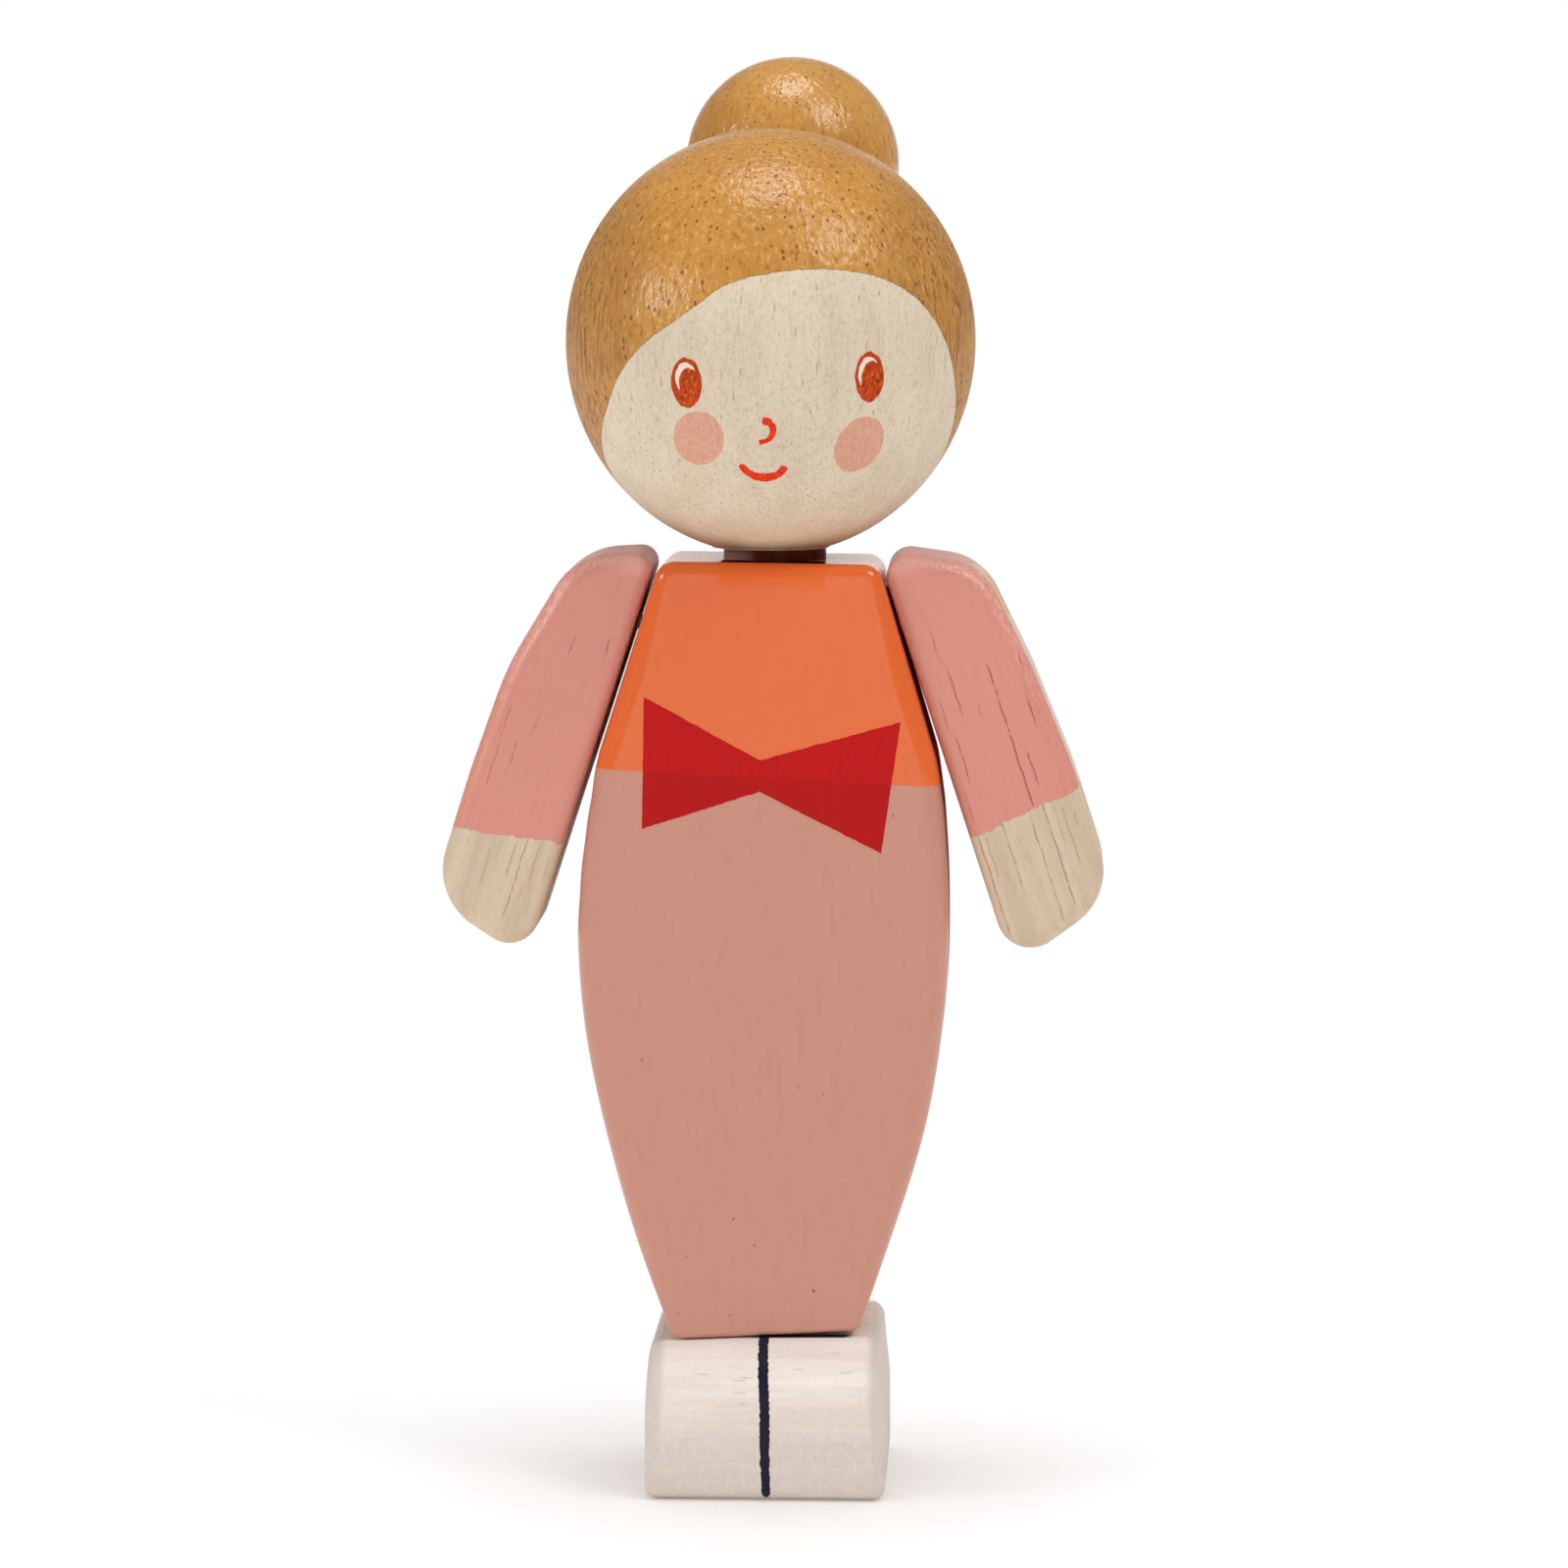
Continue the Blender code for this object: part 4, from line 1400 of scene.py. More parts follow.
        # painted shadow: a dark band on the block's top under the hem, from its middle towards +X, in the
        # gap between hem and block
        hem = box_of("body_block")[0].y / MM
        band = sheet.times(sheet.step(y, hem - 0.2, hem + 0.15), sheet.step(y, hem + 1.4, hem + 1.0))
        reach = sheet.times(sheet.step(x, -2.6, 0.4), sheet.step(x, 7.3, 6.4))
        painted_hem_shadow = sheet.times(sheet.times(band, reach), sheet.step(z, 11.5, 12.0))
        coat = sheet.tinted(coat, painted_hem_shadow, Tint.FOOT_LINE_AND_HEM_SHADOW)
        return sheet.finish(FOOT_PORES.scatter(sheet, coat))

    def line(self) -> Material:
        """Dark blue line paint."""
        sheet = NodeSheet("shoe_line_paint")
        return sheet.finish(LINE_PAINT.lay(sheet), specular=0.15)


@dataclass
class Dress(SubAssembly):
    """The body plate with its orange bodice, long skirt and red bow, and the neck in it.

    Attributes:
        side_slant: How far the upper sides slant out.
        side_height: How far down the slanted sides reach.
        hip_height: The hips' height over the hem.
        hem_slant: How far the sides slant at the hem.
        hem_rise: How much higher the sawn hem ends on the doll's left.
        hem_drop: How much lower it ends on the doll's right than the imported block.
        top_drop_left: How much lower its top is planed at the doll's left shoulder.
        drift_left: How far the saw strayed towards +X on the doll's left, as height and distance.
        waist_height: The paint line's height over the floor at the middle.
        waist_fall: How far that line falls towards the doll's left for each unit.
        neck_aside: How far the neck stands towards the doll's left.
        bow_corners: The bow's corners in front view, in millimetres.
    """

    body: Body = Body.TRUNK
    shoulder_half_width: float = 9.0 * MM
    side_slant: float = math.radians(17.5)
    side_height: float = 15.8 * MM
    hip_half_width: float = 15.5 * MM
    hip_height: float = 33.7 * MM
    hem_half_width: float = 7.9 * MM
    hem_slant: float = math.radians(20.0)
    waist_ease: float = 3.0 * MM
    hip_ease_up: float = 7.0 * MM
    hip_ease_down: float = 12.0 * MM
    hem_ease: float = 11.0 * MM
    shoulder_radius: float = 1.7 * MM
    hem_radius: float = 1.15 * MM
    edge_radius: float = 2.0 * MM
    hem_edge_radius: float = 0.4 * MM
    top_edge_radius: float = 1.2 * MM
    hem_rise: float = 0.75 * MM
    hem_drop: float = 0.52 * MM
    top_drop_left: float = 0.48 * MM
    top_drop_right: float = 0.28 * MM
    drift_left: Pairs = (
        (13.3, -0.28), (20.0, -0.29), (30.0, -0.2), (40.0, -0.38), (47.0, -0.45), (54.0, -0.42),
        (58.0, -0.32), (63.0, -0.1), (67.0, 0.02), (72.0, 0.09), (78.3, 0.16))
    drift_right: Pairs = (
        (13.3, 0.0), (20.0, -0.26), (30.0, -0.24), (40.0, -0.36), (47.0, -0.4), (51.0, -0.24),
        (56.0, 0.0), (58.4, 0.1), (61.0, 0.0), (64.0, -0.08), (68.0, -0.14), (73.0, -0.06), (78.3, 0.08))
    waist_height: float = 60.13 * MM
    waist_fall: float = 0.0488
    neck_radius: float = 4.3 * MM
    neck_aside: float = 0.35 * MM
    bow_corners: Pairs = (
        (-10.21, 66.87), (-0.62, 61.61), (11.07, 64.84), (9.47, 53.88), (-0.62, 58.99), (-10.4, 55.84))

    def half(self, side: int) -> list[Vector]:
        """One side of the outline from its shoulder down to its hem corner."""
        low, high = box_of("body_block")
        base = low.z - self.hem_drop + (self.hem_rise if side > 0 else 0.0)
        slant = Vector((math.sin(self.side_slant), -math.cos(self.side_slant)))
        top = high.z - (self.top_drop_left if side > 0 else self.top_drop_right)
        shoulder = Vector((self.shoulder_half_width, top))
        waist = shoulder + slant * (self.side_height / math.cos(self.side_slant))
        hip = Vector((self.hip_half_width, low.z + self.hip_height))
        hem = Vector((self.hem_half_width, base))
        rise = Vector((math.sin(self.hem_slant), math.cos(self.hem_slant)))
        points = fillet(Vector((0.0, top)), shoulder, waist, self.shoulder_radius) + [waist]
        points += ease(
            waist, waist + slant * self.waist_ease, hip + Vector((0.0, self.hip_ease_up)), hip, 20)
        corner = fillet(hem + rise * self.hem_ease, hem, Vector((0.0, base)), self.hem_radius)
        points += ease(
            hip, hip - Vector((0.0, self.hip_ease_down)), hem + rise * self.hem_ease, corner[0], 50)
        points += corner[1:]
        drift = self.drift_left if side > 0 else self.drift_right
        return [Vector((side * point.x + self.strayed(drift, point.y), point.y)) for point in points]

    @staticmethod
    def strayed(drift: Pairs, height: float) -> float:
        """How far the saw strayed at a height.

        Args:
            drift: Heights and distances in millimetres, from the hem up.
            height: The height.

        Returns:
            The distance towards +X.
        """
        level = height / MM
        for (low, first), (high, second) in zip(drift, drift[1:]):
            if level <= high:
                share = eased(max(0.0, (level - low) / (high - low)))
                return (first + (second - first) * share) * MM
        return drift[-1][1] * MM

    def outline(self) -> list[Vector]:
        """The plate in front view."""
        return self.half(1) + list(reversed(self.half(-1)))

    def edge(self, point: Vector) -> float:
        """The edge's rounding at a point of the outline: crisper at the hem and at the top."""
        low, high = box_of("body_block")
        full = sanded(self.edge_radius, 0.12)(point)
        under_top = clamped((high.z - point.y - 2.0 * MM) / (6.0 * MM))
        full = self.top_edge_radius + (full - self.top_edge_radius) * under_top
        over_hem = clamped((point.y - low.z - 1.0 * MM) / (5.0 * MM))
        return self.hem_edge_radius + (full - self.hem_edge_radius) * over_hem

    def build(self) -> None:
        """Make the plate, the bow's film and the neck."""
        low, high = box_of("body_block")
        middle = (low.y + high.y) / 2.0
        plate = RoundedPlate(self.outline(), high.y - low.y, self.edge, edge_steps=12, side_steps=8)
        mesh = plate.mesh(lambda x, z, depth: stand_front(x, z, depth, middle))
        self.add("dress_plate", mesh, self.paint(), "dress_paint", stands_for=["body_block"])
        self.add("dress_bow", self.bow_film(low.y).mesh(), self.bow_paint(), "dress_paint")
        neck_low, neck_high = box_of("neck_dowel")
        chamfer = 0.4 * MM
        profile = [
            (0.0, neck_high.z), (self.neck_radius - chamfer, neck_high.z),
            (self.neck_radius, neck_high.z - chamfer), (self.neck_radius, neck_low.z + chamfer),
            (self.neck_radius - chamfer, neck_low.z), (0.0, neck_low.z)]
        place = Matrix.Translation((self.neck_aside, middle, 0.0))
        self.add(
            "neck_peg", turned_mesh(profile, 96), self.neck_wood(), "neck_wood", place, ["neck_dowel"])

    def neck_wood(self) -> Material:
        """Wood stained dark as painted shade under the head, with a painted sheen paler on the doll's right.
        """
        sheet = NodeSheet("neck_wood_painted_shade")
        coat = NECK_WOOD_PAINTED_SHADE.lay(sheet)
        x, _, _ = sheet.axes()
        # painted sheen: a paler, glossier band towards -X stands in for a lamp's reflection on the neck
        painted_sheen = sheet.times(sheet.step(x, -0.8, -2.4), 0.8)
        coat = sheet.tinted(coat, painted_sheen, Tint.NECK_SHEEN)
        return sheet.finish(coat, specular=sheet.blend(painted_sheen, 0.08, 0.4))

    def bow_film(self, face: float) -> PaintFilm:
        """The bow as a film of paint from its knot out to its rim.

        Args:
            face: The front face's place along Y.

        Returns:
            The film.
        """
        corners = [Vector(corner) * MM for corner in self.bow_corners]
        knot = (corners[1] + corners[4]) / 2.0
        rim = even_outline(corners, 0.3 * MM)
        return PaintFilm(
            lambda share: knot, lambda share: rim[round(share * len(rim)) % len(rim)],
            lambda x, z: (Vector((x, face, z)), Vector((0.0, -1.0, 0.0))),
            filled=True, along=len(rim), across=4, ragged=0.07 * MM)

    def waist_line(self, sheet: NodeSheet) -> Socket:
        """How far a point lies over the painted waist line, in millimetres.

        Args:
            sheet: The material that asks.

        Returns:
            The distance's socket.
        """
        x, _, z = sheet.axes()
        wave = sheet.noise(sheet.stretched((1.0, 0.0, 0.0)), 1.6, detail=3.0)
        line = sheet.scaled(x, -self.waist_fall, self.waist_height / MM - 0.12)
        line = sheet.scaled(wave, 0.24, line)
        return sheet.minus(z, line)

    def paint(self) -> Material:
        """Orange over dusty pink, with bare wood on top made paler as a painted sheen, and a painted shadow
        of the neck on it.
        """
        sheet = NodeSheet("dress_paint_two_tone")
        x, y, z = sheet.axes()
        over_waist = self.waist_line(sheet)
        skirt = HEM_DENTS.scatter(sheet, SKIRT_PAINT.lay(sheet), where=sheet.step(z, 25.0, 20.0))
        skirt = PAINT_NIBS.scatter(sheet, SKIRT_PITS.scatter(sheet, skirt))
        orange = PAINT_NIBS.scatter(sheet, ORANGE_PAINT.lay(sheet))
        coat = sheet.over(sheet.step(over_waist, -0.03, 0.03), orange, skirt, build_up=0.02)
        low, high = box_of("body_block")
        middle = (low.y + high.y) / 2.0 / MM
        half = (high.y - low.y) / 2.0 / MM
        out = sheet.math("ABSOLUTE", sheet.minus(y, middle))
        ragged = sheet.noise(sheet.place(), 0.6, detail=3.0, rough=0.6)
        on_top = sheet.step(z, high.z / MM - 3.0, high.z / MM - 1.0)
        out = sheet.math("ADD", out, sheet.times(sheet.minus(ragged, 0.5), 0.25))
        limit = sheet.blend(on_top, -1.0, half - 1.25)
        painted = sheet.step(sheet.minus(out, limit), -0.05, 0.05)
        # painted sheen: the bare top is made paler to stand in for the backdrop's reflection on it
        bare = TOP_DOTS.scatter(sheet, TOP_WOOD_PAINTED_SHEEN.lay(sheet))
        # painted shadow and reflection of the neck: a dark band on the top just in front of the neck, kept
        # matt
        neck = self.neck_radius / MM
        aside = sheet.math("ABSOLUTE", sheet.minus(x, self.neck_aside / MM))
        before = sheet.step(aside, neck + 0.3, neck - 0.1)
        painted_neck_shadow = sheet.times(before, sheet.step(y, middle - 0.7 * neck, middle - 0.85 * neck))
        bare = sheet.tinted(bare, painted_neck_shadow, Tint.NECK_PAINTED_SHADE_STREAK)
        side = sheet.times(sheet.step(out, half - 1.4, half - 2.2), sheet.step(on_top, 0.9, 0.1))
        matt = sheet.larger(side, sheet.times(painted_neck_shadow, on_top))
        gloss = sheet.blend(matt, sheet.blend(painted, 0.2, 0.46), 0.0)
        return sheet.finish(sheet.over(painted, coat, bare, build_up=0.02), specular=gloss)

    def bow_paint(self) -> Material:
        """Red bow paint, darker under the waist line, whose ridge shows through."""
        sheet = NodeSheet("bow_paint_red")
        coat = BOW_PAINT.lay(sheet)
        over_waist = self.waist_line(sheet)
        below = sheet.mix(0.45, coat.colour, Tint.BOW_DEEP)
        colour = sheet.mix(sheet.step(over_waist, -0.05, 0.05), below, coat.colour)
        height = sheet.scaled(sheet.step(over_waist, -0.06, 0.06), 0.02, coat.height)
        coat = replace(coat, colour=colour, height=height)
        return sheet.finish(BOW_FLECKS.scatter(sheet, coat), specular=0.14)


@dataclass
class Head(SubAssembly):
    """The turned head with its painted hair and face, and the bun on its back.

    Attributes:
        turn: How far the head is turned, about Z.
        base_drop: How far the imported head's flat base lies below its centre.
        base_dome: How much further down the turned base reaches.
        bun_tilt: How far the bun's axis rises from level, at the back.
        bun_reach: The bun's centre from the head's.
        nose_path: The nose's brush stroke on its drawing plane, in millimetres; the mouth's is alike.
        hair_edge: The painted hair's edge, as degrees from the front towards +X and heights over the
            head's centre in millimetres.
    """

    body: Body = Body.HEAD
    turn: float = math.radians(-3.0)
    radius: float = 17.1 * MM
    half_height: float = 17.7 * MM
    half_depth: float = 17.82 * MM
    base_drop: float = 16.9 * MM
    base_dome: float = 0.25 * MM
    bore_radius: float = 4.6 * MM
    bore_depth: float = 10.3 * MM
    bun_radius: float = 9.2 * MM
    bun_tilt: float = math.radians(36.0)
    bun_reach: float = 24.9 * MM
    bun_foot_drop: float = 8.4 * MM
    nose_path: Pairs = (
        (-0.42, 0.98), (0.07, 0.9), (0.38, 0.5), (0.44, 0.0), (0.2, -0.5), (-0.24, -0.84), (-0.68, -0.92))
    nose_widths: Sequence[float] = (0.72, 0.6, 0.52, 0.52, 0.46, 0.4, 0.4)
    mouth_path: Pairs = (
        (-1.85, 0.8), (-1.47, 0.2), (-0.86, -0.27), (-0.07, -0.47), (0.73, -0.34), (1.36, 0.08),
        (1.76, 0.62))
    mouth_widths: Sequence[float] = (0.55, 0.62, 0.76, 0.86, 0.8, 0.7, 0.66)
    hair_edge: Pairs = (
        (-180.0, -17.9), (-98.0, -17.4), (-82.0, -13.5), (-70.0, -10.4), (-60.0, -7.8), (-49.0, -4.9),
        (-40.0, -1.9), (-30.6, 0.5), (-21.4, 2.3), (-14.9, 3.6), (-6.7, 5.2), (2.2, 5.9), (15.0, 6.35),
        (28.0, 6.25), (39.0, 5.6), (48.4, 4.35), (56.1, 2.56), (61.9, 0.5), (69.0, -2.8),
        (76.0, -5.85), (83.4, -8.9), (91.4, -11.1), (114.0, -17.4), (180.0, -17.9))

    @property
    def ball(self) -> Ball:
        """The egg that the head is turned to."""
        return Ball(self.radius, self.half_height, self.half_depth)

    @property
    def place(self) -> Matrix:
        """The head's own space: at its centre, turned with it."""
        low, _ = box_of("head")
        joint = next(joint for joint in frame["joints"] if joint["child"] == self.body.value)
        x, y, _ = joint["pos_m"]
        centre = Vector((x, y, low.z + self.base_drop))
        return Matrix.Translation(centre) @ Matrix.Rotation(self.turn, 4, "Z")

    def build(self) -> None:
        """Make the head, the bun and the painted face."""
        bore_top = self.bore_depth - self.base_drop
        base = -self.base_drop - self.base_dome
        profile = self.ball.profile(-base, 110)
        profile += [
            (self.bore_radius + 0.3 * MM, base), (self.bore_radius, base + 0.3 * MM),
            (self.bore_radius, bore_top), (0.0, bore_top)]
        self.add("head_ball", turned_mesh(profile, 192), self.paint(), "head_paint", self.place, ["head"])
        bun = Ball(self.bun_radius, self.bun_radius, self.bun_radius)
        profile = bun.profile(self.bun_foot_drop, 72) + [(0.0, -self.bun_foot_drop)]
        outward = Vector((0.0, math.cos(self.bun_tilt), math.sin(self.bun_tilt)))
        place = (self.place @ Matrix.Translation(outward * self.bun_reach)
                 @ Matrix.Rotation(self.bun_tilt - math.radians(90.0), 4, "X"))
        self.add(
            "bun_ball", turned_mesh(profile, 128), self.bun_paint(), "bun_paint", place, ["hair_bun"])
        self.draw_face()
        sheet = NodeSheet("bun_dowel_wood")
        self.dress("bun_dowel", sheet.finish(DOWEL_WOOD.lay(sheet)))

    def draw_face(self) -> None:
        """Paint the eyes, nose and mouth as films on the ball."""
        eye, lips = self.mark_paint("eye_paint", EYE_PAINT), self.mark_paint("lip_paint", LIP_PAINT)
        white = self.mark_paint("eye_white_paint", WHITE_PAINT)
        eyes = {
            "left": (
                Stamp(self.ball, math.radians(33.8), -2.3 * MM),
                Oval(-0.02 * MM, -0.07 * MM, 1.33 * MM, 2.05 * MM, lean=-0.06),
                Oval(-0.16 * MM, 0.28 * MM, 0.96 * MM, 1.28 * MM),
                Oval(0.14 * MM, -0.17 * MM, 0.93 * MM, 1.4 * MM)),
            "right": (
                Stamp(self.ball, math.radians(-18.4), -2.75 * MM),
                Oval(-0.03 * MM, -0.07 * MM, 1.37 * MM, 2.05 * MM, lean=0.03),
                Oval(-0.03 * MM, 0.31 * MM, 0.93 * MM, 1.28 * MM),
                Oval(0.24 * MM, -0.17 * MM, 0.9 * MM, 1.3 * MM)),
        }
        for word, (stamp, rim, inside, iris) in eyes.items():
            ball = Oval(inside.u, inside.v, inside.half_width + 0.1 * MM, inside.half_height + 0.1 * MM)
            glint = PaintFilm(
                ball.middle, ball.point, stamp.at, filled=True, across=6, thickness=0.01 * MM, ragged=0.0)
            self.add(word + "_eye_white", glint.mesh(), white, "head_paint", self.place)
            ring = PaintFilm(inside.point, rim.point, stamp.at, along=120, across=6)
            self.add(word + "_eye_rim", ring.mesh(), eye, "head_paint", self.place)
            within = Oval(rim.u, rim.v, rim.half_width - 0.12 * MM, rim.half_height - 0.12 * MM)
            pool = Overlap(iris, within, (0.35 * MM, -0.5 * MM))
            fill = PaintFilm(
                pool.middle, pool.point, stamp.at, filled=True, along=120, across=8, thickness=0.03 * MM)
            self.add(word + "_iris", fill.mesh(), eye, "head_paint", self.place)
        strokes = {
            "nose": (self.nose_path, self.nose_widths, Stamp(self.ball, math.radians(4.5), -6.8 * MM)),
            "mouth": (self.mouth_path, self.mouth_widths, Stamp(self.ball, math.radians(3.2), -10.2 * MM)),
        }
        for name, (path, widths, stamp) in strokes.items():
            film = drawn_stroke(path, widths).film(stamp.at, 90)
            self.add(name, film.mesh(), lips, "head_paint", self.place)

    def mark_paint(self, name: str, paint: Paint) -> Material:
        """A thin paint of the face's marks, under a material's name."""
        sheet = NodeSheet(name, self.place)
        return sheet.finish(paint.lay(sheet), specular=0.14)

    def hairline(self, sheet: NodeSheet) -> Socket:
        """How far a point lies over the hair's edge, in millimetres.

        Args:
            sheet: The material that asks.

        Returns:
            The distance's socket.
        """
        x, y, z = sheet.axes()
        angle = sheet.math("ARCTAN2", x, sheet.times(y, -1.0))
        share = sheet.scaled(angle, 0.5 / math.pi, 0.5)
        reach = 18.0
        places = [((degrees + 180.0) / 360.0, (height + reach) / (2.0 * reach))
                  for degrees, height in self.hair_edge]
        edge = sheet.scaled(sheet.curve(share, places), 2.0 * reach, -reach)
        fine = sheet.noise(sheet.stretched((1.0, 1.0, 0.3)), 0.25, detail=3.0, rough=0.6)
        edge = sheet.scaled(fine, 0.36, sheet.minus(edge, 0.18))
        return sheet.minus(z, edge)

    def cheek_mask(self, sheet: NodeSheet, stamp: Stamp, oval: Oval) -> Socket:
        """Where a cheek's wash lies.

        Args:
            sheet: The material that asks.
            stamp: The drawing plane at the cheek.
            oval: The cheek on it, in millimetres.

        Returns:
            The mask's socket.
        """
        centre = stamp.centre / MM
        away = sheet.vector("SUBTRACT", sheet.place(), tuple(centre)).outputs[0]
        u = sheet.vector("DOT_PRODUCT", away, tuple(stamp.right)).outputs["Value"]
        v = sheet.vector("DOT_PRODUCT", away, tuple(stamp.up)).outputs["Value"]
        u = sheet.minus(sheet.scaled(v, -oval.lean, u), oval.u)
        v = sheet.minus(v, oval.v)
        across = sheet.math("POWER", sheet.math("DIVIDE", u, oval.half_width), 2.0)
        along = sheet.math("POWER", sheet.math("DIVIDE", v, oval.half_height), 2.0)
        far = sheet.math("SQRT", sheet.math("ADD", across, along))
        fine = sheet.noise(sheet.stretched((1.0, 1.0, 0.4)), 0.3, detail=3.0)
        far = sheet.scaled(fine, 0.07, far)
        return sheet.step(far, 1.06, 1.01)

    def paint(self) -> Material:
        """Ochre hair with painted shade on its sides, over a bare wooden face with washed cheeks and painted
        bounce light under the chin.
        """
        sheet = NodeSheet("head_hair_and_face", self.place)
        face = FACE_PORES.scatter(sheet, FACE_WOOD.lay(sheet))
        thin = sheet.noise(sheet.stretched((1.0, 1.0, 0.35), shift=6.1), 0.26, detail=3.0, rough=0.7)
        wash = sheet.blend(sheet.step(thin, 0.34, 0.66), 0.8, 0.6)
        cheeks = [
            (Stamp(self.ball, math.radians(-16.8), -7.33 * MM), Oval(-0.02, -0.08, 2.22, 2.42, lean=0.13)),
            (Stamp(self.ball, math.radians(33.5), -7.77 * MM), Oval(0.06, -0.2, 2.22, 2.53, lean=0.03)),
        ]
        for stamp, oval in cheeks:
            mask = self.cheek_mask(sheet, stamp, oval)
            face = sheet.tinted(face, sheet.times(mask, wash), Tint.CHEEK)
        x, _, z = sheet.axes()
        # painted bounce light: the chin is tinted warm as if lit by the orange dress, and the lowest edge
        # deeper still as its painted reflection
        face = sheet.tinted(face, sheet.step(z, -13.0, -17.5), Tint.CHIN_PAINTED_BOUNCE, 0.55)
        face = sheet.tinted(face, sheet.step(z, -17.0, -17.65), Tint.CHIN_PAINTED_REFLECTION, 0.6)
        hair = HAIR_PAINT.lay(sheet)
        beside = sheet.step(sheet.math("ABSOLUTE", x), 7.5, 15.0)
        # painted shade: the hair darkens towards its sides, and further towards -X, where less light falls
        # on it
        shade = sheet.larger(beside, sheet.step(x, -7.0, -13.0))
        hair = sheet.tinted(hair, shade, Tint.HAIR_DEEP_AND_SHADE, 0.22)
        lines = sheet.noise(sheet.stretched((1.0, 1.0, 0.055), shift=4.4), 0.3, rough=0.6)
        lines = sheet.times(sheet.step(lines, 0.53, 0.64), beside)
        hair = sheet.tinted(hair, lines, Tint.HAIR_GRAIN, 0.6)
        hair = replace(
            hair, roughness=sheet.blend(beside, HAIR_PAINT.roughness, 0.46),
            height=sheet.scaled(lines, -0.04, hair.height))
        hair = HAIR_PITS.scatter(sheet, hair)
        mask = sheet.step(self.hairline(sheet), -0.04, 0.04)
        return sheet.finish(sheet.over(mask, hair, face, build_up=0.03), specular=0.3)

    def bun_paint(self) -> Material:
        """Ochre bun with dents and dark pores, and painted shade towards its -X side."""
        sheet = NodeSheet("bun_hair", self.place)
        coat = BUN_PAINT.lay(sheet)
        x, _, _ = sheet.axes()
        # painted shade: the bun darkens towards its -X side
        coat = sheet.tinted(coat, sheet.step(x, -1.5, -6.5), Tint.HAIR_DEEP_AND_SHADE, 0.3)
        return sheet.finish(BUN_DENTS.scatter(sheet, coat), specular=0.4)


